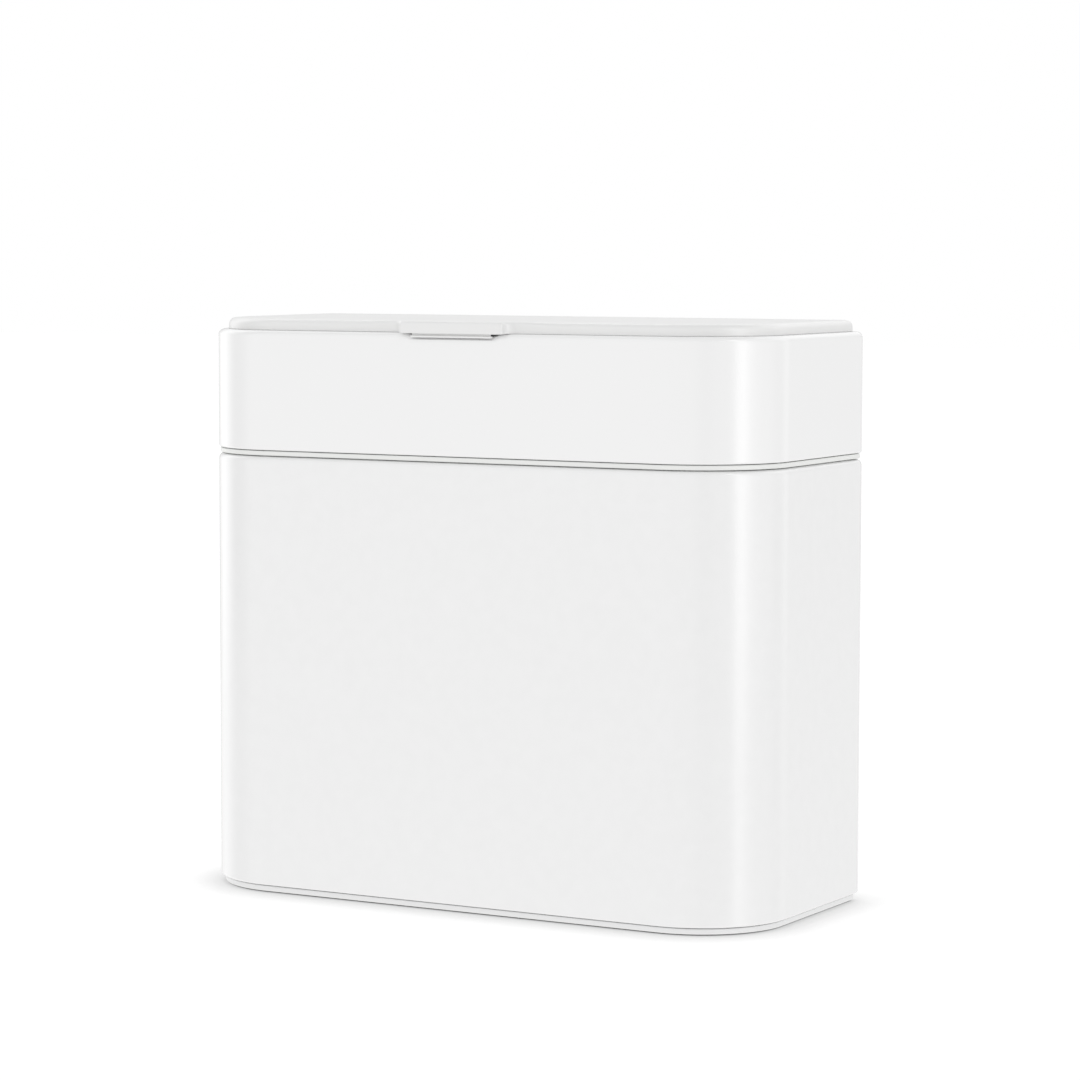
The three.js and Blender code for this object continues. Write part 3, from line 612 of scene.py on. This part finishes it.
# Upper band: a second steel wrap in the same powder coat, with its top edge rolled inwards
# and a narrow hem below. Two cuts at the rear let the hinge knuckles stand up through it. It
# hangs a little lower than its solid, so that the seam below it closes up.
band_low, band_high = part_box("upper_band")
pin_boxes = [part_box(name) for name in ("hinge_pin_left", "hinge_pin_right")]
BAND_SHEET = 0.9 * MM
BAND_DROP = 0.15 * MM
BAND_ROLL = 2.2 * MM
BAND_TOP = 5 * MM
BAND_HEM = 2.6 * MM
BAND_FOOT_EDGE = 0.8 * MM
BAND_TOP_EDGE = 0.3 * MM
NOTCH_SIDE = 1.1 * MM
NOTCH_CORNER = 1 * MM
SEAM = 0.4 * MM
DIP = 0.25 * MM
DIP_FLOOR = 15 * MM
DIP_REACH = 23 * MM
DIP_MARGIN = 0.1 * MM
low, high = band_low[2] - BAND_DROP, band_high[2]


def press_dip(above):
    """Presses a shallow dip for the fingers, eased at both ends, in the front edge."""
    steps = 8
    for number in range(steps + 1):
        part = number / steps
        x = DIP_REACH + (DIP_FLOOR - DIP_REACH) * part
        for side in (-x, x):
            bpy.ops.mesh.select_all(action="SELECT")
            bpy.ops.mesh.bisect(plane_co=(side, 0, 0), plane_no=(1, 0, 0))
            pick("VERT", lambda v: abs(v.co.x - side) < NEAR and v.co.y < 0 and v.co.z > above)
            bpy.ops.transform.translate(value=(0, 0, -DIP * part * part * (3 - 2 * part)))


# The band's powder coat is set a touch whiter than the shell's, and is smooth where the shell is
# mottled.
whiter_smooth_coat, tree, shader, place = start_material("white_powder_coat_fine")
mottle = add_node(tree, "ShaderNodeTexNoise", {"Vector": place, "Scale": 1 / (60 * MM), "Detail": 1.0})
tone = add_node(tree, "ShaderNodeMix", {
    "Factor": mottle["Fac"], 6: linear("F1F1F1"), 7: linear("F2F2F2")}, data_type="RGBA")
grain = add_node(tree, "ShaderNodeTexNoise", {"Vector": place, "Scale": 1 / (2 * MM), "Detail": 2.0})
bump = add_node(tree, "ShaderNodeBump", {
    "Height": grain["Fac"], "Strength": 0.05, "Distance": 0.02 * MM})
fill(tree, shader, {"Base Color": tone[2], "Normal": bump["Normal"], "Roughness": 0.2})

roll_z = high - BAND_ROLL
upper_band = new_piece("upper_band_steel")
sweep([(0, low), *arc(BAND_ROLL, roll_z, BAND_ROLL, 2 * QUARTER, QUARTER, 8),
       (BAND_TOP, high, INNER_BACK_RADIUS), (BAND_TOP, high - BAND_SHEET, INNER_BACK_RADIUS),
       *arc(BAND_ROLL, roll_z, BAND_ROLL - BAND_SHEET, QUARTER, 2 * QUARTER, 6),
       (BAND_SHEET, low + BAND_SHEET), (BAND_HEM, low + BAND_SHEET), (BAND_HEM, low)], closed=True)
round_rings(BAND_FOOT_EDGE, 6, (0, low))
round_rings(BAND_TOP_EDGE, 3, (BAND_TOP, high, INNER_BACK_RADIUS),
            (BAND_TOP, high - BAND_SHEET, INNER_BACK_RADIUS))
press_dip(roll_z - DIP_MARGIN)
settle()
notches = new_piece("notches")
notch_low = roll_z + SEAM
for pin_low, pin_high in pin_boxes:
    add_block((pin_low[0] - NOTCH_SIDE, band_high[1] - BAND_TOP - CUT_MARGIN, notch_low),
              (pin_high[0] + NOTCH_SIDE, band_high[1] + CUT_MARGIN, high + CUT_MARGIN))
pick("EDGE", lambda edge: all(abs(v.co.z - notch_low) < NEAR for v in edge.verts)
     and abs(edge.verts[0].co.x - edge.verts[1].co.x) < NEAR)
bpy.ops.mesh.bevel(offset=NOTCH_CORNER, segments=5, affect="EDGES")
settle()
combine(upper_band, notches, "DIFFERENCE")
hand_over(upper_band, whiter_smooth_coat, "upper_unit", "upper_band")

# Upper frame: a moulded polypropylene ring that snaps into the band. It has a ledge for the
# lid's seal, a throat whose skirt enters the bucket, and the fixed knuckles of the hinges.
frame_low, frame_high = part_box("upper_frame")
FRAME_WALL = 2 * MM
FRAME_WALL_HEIGHT = 25 * MM
LEDGE_STEP = 1.6 * MM
LEDGE_WIDTH = 3.2 * MM
SKIRT_WALL = 1.8 * MM
FRAME_EDGE = 0.5 * MM
STEM_SETBACK = 0.6 * MM
KNUCKLE_RADIUS = 2.4 * MM
KNUCKLE_LENGTH = 6 * MM
PIN_RADIUS = 1 * MM
frame_outer = half_width - frame_high[0]
frame_inner = frame_outer + FRAME_WALL
ledge_outer = BAND_TOP + FIT_GAP
throat = ledge_outer + LEDGE_WIDTH
frame_top = high - BAND_SHEET - FIT_GAP
ledge_z = frame_top - LEDGE_STEP
web_z = ledge_z - FRAME_WALL
chamfer = BAND_ROLL - frame_outer
skirt_low = frame_low[2]
wide = INNER_BACK_RADIUS
upper_frame = new_piece("upper_frame_polypropylene")
sweep([(frame_inner, frame_top - FRAME_WALL_HEIGHT), (frame_outer, frame_top - FRAME_WALL_HEIGHT),
       *arc(frame_outer + chamfer, frame_top - chamfer, chamfer, 2 * QUARTER, QUARTER, 5),
       (ledge_outer, frame_top, wide), (ledge_outer, ledge_z, wide), (throat, ledge_z, wide),
       (throat, skirt_low, wide), (throat - SKIRT_WALL, skirt_low, wide),
       (throat - SKIRT_WALL, web_z, wide), (frame_inner, web_z)], closed=True)
round_rings(FRAME_EDGE, 4, (ledge_outer, ledge_z, wide), (throat, ledge_z, wide),
            (throat, skirt_low, wide), (throat - SKIRT_WALL, skirt_low, wide))
press_dip(frame_top - chamfer - DIP_MARGIN)
settle()
hinge_y, hinge_z = pin_boxes[0][0][1] + PIN_RADIUS, pin_boxes[0][0][2] + PIN_RADIUS
spans = []
for pin_low, pin_high in pin_boxes:
    spans += [(pin_low[0], pin_low[0] + KNUCKLE_LENGTH), (pin_high[0] - KNUCKLE_LENGTH, pin_high[0])]
stems = new_piece("stems")
for start, end in spans:
    add_block((start, hinge_y - KNUCKLE_RADIUS, ledge_z),
              (end, hinge_y + KNUCKLE_RADIUS - STEM_SETBACK, hinge_z))
combine(upper_frame, stems, "UNION")
for operation, radius, over in (("UNION", KNUCKLE_RADIUS, 0),
                                ("DIFFERENCE", PIN_RADIUS + FIT_GAP, MM)):
    barrels = new_piece("barrels")
    for start, end in spans:
        add_barrel(radius, (start - over, hinge_y, hinge_z), (end + over, hinge_y, hinge_z))
    combine(upper_frame, barrels, operation)
hand_over(upper_frame, polypropylene, "upper_unit", "upper_frame")

# Hinge pins: two stainless pins, 2 mm across with rounded ends. Each runs through the two
# knuckles of the frame and the one of the lid between them.
PIN_END_EDGE = 0.25 * MM
for name, (pin_low, pin_high) in zip(("left", "right"), pin_boxes):
    pin = new_piece(f"hinge_pin_stainless_{name}")
    add_barrel(PIN_RADIUS, (pin_low[0], hinge_y, hinge_z), (pin_high[0], hinge_y, hinge_z),
               sides=32)
    pick("EDGE", lambda edge: all(abs(v.co.x - pin_low[0]) < NEAR for v in edge.verts)
         or all(abs(v.co.x - pin_high[0]) < NEAR for v in edge.verts))
    bpy.ops.mesh.bevel(offset=PIN_END_EDGE, segments=3, affect="EDGES")
    hand_over(pin, stainless, "upper_unit", f"hinge_pin_{name}")

# Lid cover: moulded ABS, a flat plate with a soft round edge, a hollow underside, a finger tab
# in front that flows out of the edge, and one knuckle in each rear hinge. The seam below it and
# the tab's edges are finer than in its solid.
lid_low, lid_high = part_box("lid_cover")
LID_SEAM = 0.05 * MM
LID_HEM = 0.12 * MM
LID_SETBACK = 3.2 * MM
LID_PLATE = 2.2 * MM
LID_WALL = 3.6 * MM
LID_EDGE = 2.5 * MM
LID_FRONT_RADIUS = 33 * MM
LID_BACK_RADIUS = 4.5 * MM
LID_KNUCKLE = 16 * MM
TAB_REACH = 5.4 * MM
TAB_LIP = 0.2 * MM
TAB_HALF = 26 * MM
TAB_ROOT_RADIUS = 5 * MM
TAB_TIP_RADIUS = 1.5 * MM
TAB_EDGE = 1.0 * MM
TAB_TAPER = 12 * MM
TAPER_STEPS = 8
CLOSE_POINTS = 0.02 * MM
LIP_SIDE = 0.2 * MM
LIP_SETBACK = 0.15 * MM
lid_x = half_width - LID_SETBACK
lid_y = half_depth - LID_SETBACK
lid_front = middle_y - lid_y
lid_top, lid_bottom = lid_high[2], band_high[2] + LID_SEAM
# The tab's sides: the root and the tip are arcs that meet on one slanting line.
tab_turn = math.acos(1 - TAB_REACH / (TAB_ROOT_RADIUS + TAB_TIP_RADIUS))
root_offset = TAB_ROOT_RADIUS * math.tan(tab_turn / 2)
tip_offset = TAB_TIP_RADIUS * math.tan(tab_turn / 2)
root_x = TAB_HALF - root_offset
tip_x = TAB_HALF - (TAB_ROOT_RADIUS + TAB_TIP_RADIUS) * math.sin(tab_turn) + tip_offset

# White ABS, moulded: close to the paint but a little greyer, with a soft gloss.
white_abs, tree, shader, place = start_material("white_abs_moulded_gloss")
patches = add_node(tree, "ShaderNodeTexNoise", {"Vector": place, "Scale": 1 / (50 * MM), "Detail": 1.0})
tone = add_node(tree, "ShaderNodeMix", {
    "Factor": patches["Fac"], 6: linear("E8E8E8"), 7: linear("EAEAE9")}, data_type="RGBA")
grain = add_node(tree, "ShaderNodeTexNoise", {"Vector": place, "Scale": 1 / (0.6 * MM), "Detail": 1.0})
bump = add_node(tree, "ShaderNodeBump", {
    "Height": grain["Fac"], "Strength": 0.1, "Distance": 0.01 * MM})
fill(tree, shader, {"Base Color": tone[2], "Normal": bump["Normal"], "Roughness": 0.3})

lid_cover = new_piece("lid_cover_abs")
centre = (0, middle_y, lid_top)
bpy.ops.mesh.primitive_plane_add(size=2, location=centre)
bpy.ops.transform.resize(value=(lid_x, lid_y, 1), center_override=centre)
taper = [TAB_HALF + TAB_TAPER * step / TAPER_STEPS for step in range(1, TAPER_STEPS + 1)]
for side in (-1, 1):
    for x in (root_x, *taper):
        bpy.ops.mesh.select_all(action="SELECT")
        bpy.ops.mesh.bisect(plane_co=(side * x, 0, 0), plane_no=(1, 0, 0))
pick("EDGE", lambda edge: all(abs(v.co.y - lid_front) < NEAR and abs(v.co.x) < root_x + NEAR
                              for v in edge.verts))
bpy.ops.mesh.extrude_region_move(TRANSFORM_OT_translate={"value": (0, -TAB_REACH, 0)})
bpy.ops.transform.resize(value=(tip_x / root_x, 1, 1), center_override=centre)
pick("EDGE", lambda edge: len(edge.link_faces) == 2)
bpy.ops.mesh.dissolve_edges(use_verts=False)
for x, y, offset, steps in (
        (lid_x, lid_front, LID_FRONT_RADIUS, FRONT_STEPS),
        (lid_x, lid_front + 2 * lid_y, LID_BACK_RADIUS, BACK_STEPS),
        (root_x, lid_front, root_offset, 10),
        (tip_x, lid_front - TAB_REACH, tip_offset, 10)):
    pick("VERT", lambda v: abs(abs(v.co.x) - x) < NEAR and abs(v.co.y - y) < NEAR)
    bpy.ops.mesh.bevel(offset=offset, segments=steps, affect="VERTICES")
# Where two bends of the outline meet, their ends are merged before the plate gets its height.
bpy.ops.mesh.select_all(action="SELECT")
bpy.ops.mesh.remove_doubles(threshold=CLOSE_POINTS)
bpy.ops.mesh.select_all(action="SELECT")
extrude_up(lid_bottom - lid_top)
pick("EDGE", lambda edge: all(abs(v.co.z - lid_bottom) < NEAR for v in edge.verts))
bpy.ops.mesh.bevel(offset=LID_HEM, segments=3, affect="EDGES")
# The round top edge is wide along the plate and narrows on both sides of the tab.
pick("EDGE", lambda edge: all(abs(v.co.z - lid_top) < NEAR for v in edge.verts))
bpy.ops.transform.edge_bevelweight(value=TAB_EDGE / LID_EDGE)
for x in taper:
    pick("EDGE", lambda edge: all(
        abs(v.co.z - lid_top) < NEAR and (abs(v.co.x) > x - NEAR or v.co.y > middle_y)
        for v in edge.verts))
    bpy.ops.transform.edge_bevelweight(value=(1 - TAB_EDGE / LID_EDGE) / TAPER_STEPS)
bpy.ops.object.mode_set(mode="OBJECT")
bpy.ops.object.modifier_add(type="BEVEL")
rounding = lid_cover.modifiers[-1]
rounding.limit_method = "WEIGHT"
rounding.width = LID_EDGE
rounding.segments = 8
rounding.use_clamp_overlap = False
bpy.ops.object.modifier_apply(modifier=rounding.name)
settle()
lid_screw_boxes = [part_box(f"lid_screw_{number}") for number in range(1, 5)]
LID_SCREW_SHANK = 1.2 * MM
hollow = new_piece("hollow")
sweep([(LID_SETBACK + LID_WALL, lid_bottom - MM, wide),
       (LID_SETBACK + LID_WALL, lid_top - LID_PLATE, wide)], closed=False)
combine(lid_cover, hollow, "DIFFERENCE")
holes = new_piece("holes")
for box in lid_screw_boxes:
    x, y = centre_of(box)
    add_barrel(LID_SCREW_SHANK + FIT_GAP, (x, y, lid_bottom), (x, y, box[1][2] + FIT_GAP))
combine(lid_cover, holes, "DIFFERENCE")
clearances = new_piece("clearances")
for start, end in spans:
    add_block((start - PIVOT_GAP, hinge_y - KNUCKLE_RADIUS - PIVOT_GAP, lid_bottom - MM),
              (end + PIVOT_GAP, band_high[1], lid_top + MM))
combine(lid_cover, clearances, "DIFFERENCE")
for operation, radius, half in (("UNION", KNUCKLE_RADIUS, LID_KNUCKLE / 2),
                                ("DIFFERENCE", PIN_RADIUS + FIT_GAP, LID_KNUCKLE / 2 + MM)):
    barrels = new_piece("barrels")
    for pin_low, pin_high in pin_boxes:
        x = (pin_low[0] + pin_high[0]) / 2
        add_barrel(radius, (x - half, hinge_y, hinge_z), (x + half, hinge_y, hinge_z))
    combine(lid_cover, barrels, operation)
lip = new_piece("lip")
lip_x, lip_front = tip_x - LIP_SIDE, lid_low[1] + LIP_SETBACK
lip_low = lid_bottom - TAB_LIP
add_block((-lip_x, lip_front, lip_low), (lip_x, lid_front - MM, lid_bottom + MM))
pick("EDGE", lambda edge: all(abs(v.co.y - lip_front) < NEAR for v in edge.verts)
     and abs(edge.verts[0].co.z - edge.verts[1].co.z) > NEAR)
bpy.ops.mesh.bevel(offset=TAB_TIP_RADIUS, segments=10, affect="EDGES")
combine(lid_cover, lip, "UNION")
hand_over(lid_cover, white_abs, "lid", "lid_cover")

# Tab grip: a thin strip, moulded apart and welded under the lid's tab, that hangs in front of
# the band's dip and gives the fingers an edge to lift. A groove sets it off from the tab.
tab_low, tab_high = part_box("tab_grip")
GRIP_GROOVE = 0.7 * MM
GRIP_RAISE = 0.2 * MM
GRIP_JOINT = 0.04 * MM
GRIP_CORNER = 0.6 * MM
GRIP_EDGE = 0.25 * MM
WEB_SETBACK = 0.85 * MM
WEB_SIDE = 0.6 * MM
WEB_RAISE = 0.5 * MM
WEB_BACK = 0.1 * MM
tab_grip = new_piece("tab_grip_abs")
grip_top = lip_low - GRIP_JOINT
add_block((tab_low[0], tab_low[1], tab_low[2] + GRIP_RAISE),
          (tab_high[0], tab_high[1], grip_top - GRIP_GROOVE))
pick("EDGE", lambda edge: all(abs(v.co.y - tab_low[1]) < NEAR for v in edge.verts)
     and abs(edge.verts[0].co.z - edge.verts[1].co.z) > NEAR)
bpy.ops.mesh.bevel(offset=GRIP_CORNER, segments=6, affect="EDGES")
pick("EDGE", lambda edge: all(v.co.y < tab_high[1] - NEAR for v in edge.verts)
     and abs(edge.verts[0].co.z - edge.verts[1].co.z) < NEAR)
bpy.ops.mesh.bevel(offset=GRIP_EDGE, segments=4, affect="EDGES")
settle()
web = new_piece("web")
add_block((tab_low[0] + WEB_SIDE, tab_low[1] + WEB_SETBACK, tab_low[2] + WEB_RAISE),
          (tab_high[0] - WEB_SIDE, tab_high[1] - WEB_BACK, grip_top))
combine(tab_grip, web, "UNION")
hand_over(tab_grip, white_abs, "lid", "tab_grip")

# Lid liner: a moulded polypropylene plate screwed into the lid's hollow. Its plug enters the
# throat and keeps the seal in its place.
liner_low, liner_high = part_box("lid_liner")
LINER_PLATE = 1.4 * MM
PLUG_WALL = 1.8 * MM
PLUG_GAP = 0.6 * MM
PLUG_EDGE = 0.5 * MM
liner_outer = half_width - liner_high[0]
plug_outer = throat + PLUG_GAP
plug_inner = plug_outer + PLUG_WALL
underside = liner_high[2] - LINER_PLATE
plug_low = liner_low[2]
lid_liner = new_piece("lid_liner_polypropylene")
sweep([(plug_inner, underside, wide), (plug_inner, plug_low, wide), (plug_outer, plug_low, wide),
       (plug_outer, underside, wide), (liner_outer, underside, wide),
       (liner_outer, liner_high[2], wide)], closed=False)
round_rings(PLUG_EDGE, 4, (plug_inner, underside, wide), (plug_inner, plug_low, wide),
            (plug_outer, plug_low, wide))
settle()
holes = new_piece("holes")
for box in lid_screw_boxes:
    x, y = centre_of(box)
    add_barrel(LID_SCREW_SHANK + FIT_GAP, (x, y, underside - MM), (x, y, liner_high[2] + MM))
combine(lid_liner, holes, "DIFFERENCE")
hand_over(lid_liner, polypropylene, "lid", "lid_liner")

# Lid seal: a soft silicone ring that sits round the plug and closes on the frame's ledge with
# two small lips.
seal_low, seal_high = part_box("lid_seal")
seal_outer = half_width - seal_high[0]
SEAL_WIDTH = 2.1 * MM
lip = SEAL_WIDTH / 4

# Grey silicone, moulded: soft and milky, since light passes a little way into it.
silicone, tree, shader, place = start_material("grey_silicone_moulded")
patches = add_node(tree, "ShaderNodeTexNoise", {"Vector": place, "Scale": 1 / (10 * MM), "Detail": 1.0})
tone = add_node(tree, "ShaderNodeMix", {
    "Factor": patches["Fac"], 6: linear("D3D5D6"), 7: linear("D9DBDC")}, data_type="RGBA")
grain = add_node(tree, "ShaderNodeTexNoise", {"Vector": place, "Scale": 1 / (0.5 * MM), "Detail": 1.0})
bump = add_node(tree, "ShaderNodeBump", {
    "Height": grain["Fac"], "Strength": 0.1, "Distance": 0.01 * MM})
fill(tree, shader, {"Base Color": tone[2], "Normal": bump["Normal"], "Roughness": 0.55,
                    "Subsurface Weight": 0.3, "Subsurface Radius": (1, 1, 1),
                    "Subsurface Scale": 1 * MM})

lid_seal = new_piece("lid_seal_silicone")
sweep([(seal_outer, seal_high[2], wide),
       *arc(seal_outer + lip, seal_low[2] + lip, lip, 2 * QUARTER, 4 * QUARTER, 8, wide),
       *arc(seal_outer + 3 * lip, seal_low[2] + lip, lip, 2 * QUARTER, 4 * QUARTER, 8, wide)[1:],
       (seal_outer + SEAL_WIDTH, seal_high[2], wide)], closed=True)
hand_over(lid_seal, silicone, "lid", "lid_seal")

# Lid screws: four small pan head screws of zinc plated steel. They hold the liner to the cover
# and are driven from below, so they show only with the lid open.
LID_SCREW_HEAD = 1.3 * MM
lid_screw = pan_head_screw("lid_screw_zinc_1", lid_screw_boxes[0], LID_SCREW_HEAD, LID_SCREW_SHANK)
hand_over_copies(lid_screw, lid_screw_boxes, zinc, "lid", "lid_screw")

# Studio floor: a plain matt white sheet that only the camera sees. It keeps the soft line of
# shadow that hugs the base, and the caddy is lit from all round it as in a white tent.
CONTACT_REACH = 17 * MM
CONTACT_POWER = 0.38
FLOOR_GLOW = 0.36
bpy.ops.object.select_all(action="DESELECT")
bpy.ops.mesh.primitive_plane_add(size=12, location=(0, 0, 0))
floor = bpy.context.object
floor.name = "studio_floor"
floor.visible_diffuse = floor.visible_glossy = floor.visible_shadow = False
floor_white, tree, shader, place = start_material("matt_white_studio_floor")
open_sky = add_node(tree, "ShaderNodeAmbientOcclusion", {"Distance": CONTACT_REACH}, samples=16)["AO"]
open_sky = add_node(tree, "ShaderNodeMath", {0: open_sky, 1: CONTACT_POWER}, operation="POWER")[0]
pale = add_node(tree, "ShaderNodeMix", {
    "Factor": open_sky, 6: (0, 0, 0, 1), 7: (0.8, 0.8, 0.8, 1)}, data_type="RGBA")
glow = add_node(tree, "ShaderNodeMath", {0: open_sky, 1: FLOOR_GLOW}, operation="MULTIPLY")
fill(tree, shader, {"Base Color": pale[2], "Roughness": 1, "Specular IOR Level": 0,
                    "Emission Color": (1, 1, 1, 1), "Emission Strength": glow[0]})
floor.data.materials.append(floor_white)

# Tent: an even white all round that is a little dimmer overhead, so that the lid's top stays
# greyer than the sides. One large soft lamp adds to it from the front, left and above. The
# camera sees plain white.
ROOF_LIGHT = 0.7
world = bpy.data.worlds.new("white_tent")
bpy.context.scene.world = world
world.use_nodes = True
tree = world.node_tree
rays = add_node(tree, "ShaderNodeLightPath", {})
height = add_node(tree, "ShaderNodeSeparateXYZ", {
    "Vector": add_node(tree, "ShaderNodeTexCoord", {})["Object"]})["Z"]
roof = add_node(tree, "ShaderNodeMapRange", {
    "Value": height, "From Min": 0.5, "From Max": 0.9, "To Min": 1.0, "To Max": ROOF_LIGHT})["Result"]
level = add_node(tree, "ShaderNodeMath", {0: roof, 1: rays["Is Camera Ray"]}, operation="MAXIMUM")[0]
fill(tree, tree.nodes["Background"], {"Color": (1, 1, 1, 1), "Strength": level})
lamp = bpy.data.lights.new("key", "AREA")
lamp.shape = "DISK"
lamp.size = 1200 * MM
lamp.energy = 1.6
key = bpy.data.objects.new("key", lamp)
key.location = (-800 * MM, -1400 * MM, 1500 * MM)
key.rotation_euler = (math.radians(47), 0, math.radians(-29.7))
bpy.context.scene.collection.objects.link(key)

# Reflector wall: a ring of panels round the caddy that only reflections see. Two bright strips
# run down its round corners, and darker panels between draw the corners' edges. Each panel has
# its direction, in degrees to the right of the front, and its brightness.
PANELS = ((-180, 0.69), (-128, 0.69), (-118, 1.0), (-110, 1.6), (-100, 1.9), (-90, 1.6),
          (-81, 0.6), (-76, 0.1), (-62, 0.1), (-52, 0.9), (24, 1.0), (31, 0.5), (38, 0.5),
          (46, 0.9), (60, 1.0), (66, 1.6), (70, 4.2), (77, 4.8), (82, 3.0), (90, 2.0),
          (98, 1.6), (110, 1.4), (119, 0.9), (130, 0.9), (138, 1.7), (145, 0.9), (180, 0.69))
PANEL_PEAK = 6
WALL_RADIUS = 900 * MM
WALL_HEIGHT = 3000 * MM
wall_white, tree, shader, place = start_material("studio_reflector_wall")
axes = add_node(tree, "ShaderNodeSeparateXYZ", {"Vector": place})
front = add_node(tree, "ShaderNodeMath", {0: axes["Y"], 1: -1.0}, operation="MULTIPLY")[0]
turn = add_node(tree, "ShaderNodeMath", {0: axes["X"], 1: front}, operation="ARCTAN2")[0]
turn = add_node(tree, "ShaderNodeMapRange", {
    "Value": turn, "From Min": -math.pi, "From Max": math.pi})
ramp_node = tree.nodes.new("ShaderNodeValToRGB")
stops = ramp_node.color_ramp.elements
for number, (azimuth, level) in enumerate(PANELS):
    position = (azimuth + 180) / 360
    ends = {0: stops[0], len(PANELS) - 1: stops[-1]}
    stop = ends[number] if number in ends else stops.new(position)
    stop.position = position
    stop.color = (level / PANEL_PEAK,) * 3 + (1,)
fill(tree, ramp_node, {"Fac": turn["Result"]})
extra = add_node(tree, "ShaderNodeMath", {0: ramp_node.outputs["Color"], 1: PANEL_PEAK, 2: -1.0},
                 operation="MULTIPLY_ADD")[0]
# The panels even out towards the ground, and a brighter field behind the caddy, from 370 mm up,
# is what the lid's top reflects.
fade = add_node(tree, "ShaderNodeMapRange", {
    "Value": axes["Z"], "From Min": -40 * MM, "From Max": 60 * MM,
    "To Min": 0.5, "To Max": 1.0})["Result"]
level = add_node(tree, "ShaderNodeMath", {0: extra, 1: fade, 2: 1.0}, operation="MULTIPLY_ADD")[0]
upper = add_node(tree, "ShaderNodeMapRange", {
    "Value": axes["Z"], "From Min": 370 * MM, "From Max": 600 * MM,
    "To Min": 0.0, "To Max": 1.0})["Result"]
behind = add_node(tree, "ShaderNodeMapRange", {
    "Value": axes["Y"], "From Min": 0, "From Max": 700 * MM})["Result"]
upper = add_node(tree, "ShaderNodeMath", {0: upper, 1: behind}, operation="MULTIPLY")[0]
level = add_node(tree, "ShaderNodeMath", {0: level, 1: upper}, operation="ADD")[0]
fill(tree, shader, {"Base Color": (0, 0, 0, 1), "Specular IOR Level": 0, "Roughness": 1,
                    "Emission Color": (1, 1, 1, 1), "Emission Strength": level})
bpy.ops.object.select_all(action="DESELECT")
bpy.ops.mesh.primitive_cylinder_add(
    vertices=128, radius=WALL_RADIUS, depth=WALL_HEIGHT, end_fill_type="NOTHING")
wall = bpy.context.object
wall.name = "reflector_wall"
wall.visible_camera = wall.visible_diffuse = wall.visible_transmission = wall.visible_shadow = False
wall_white.cycles.emission_sampling = "NONE"
wall.data.materials.append(wall_white)

bpy.context.scene.view_settings.view_transform = "Standard"
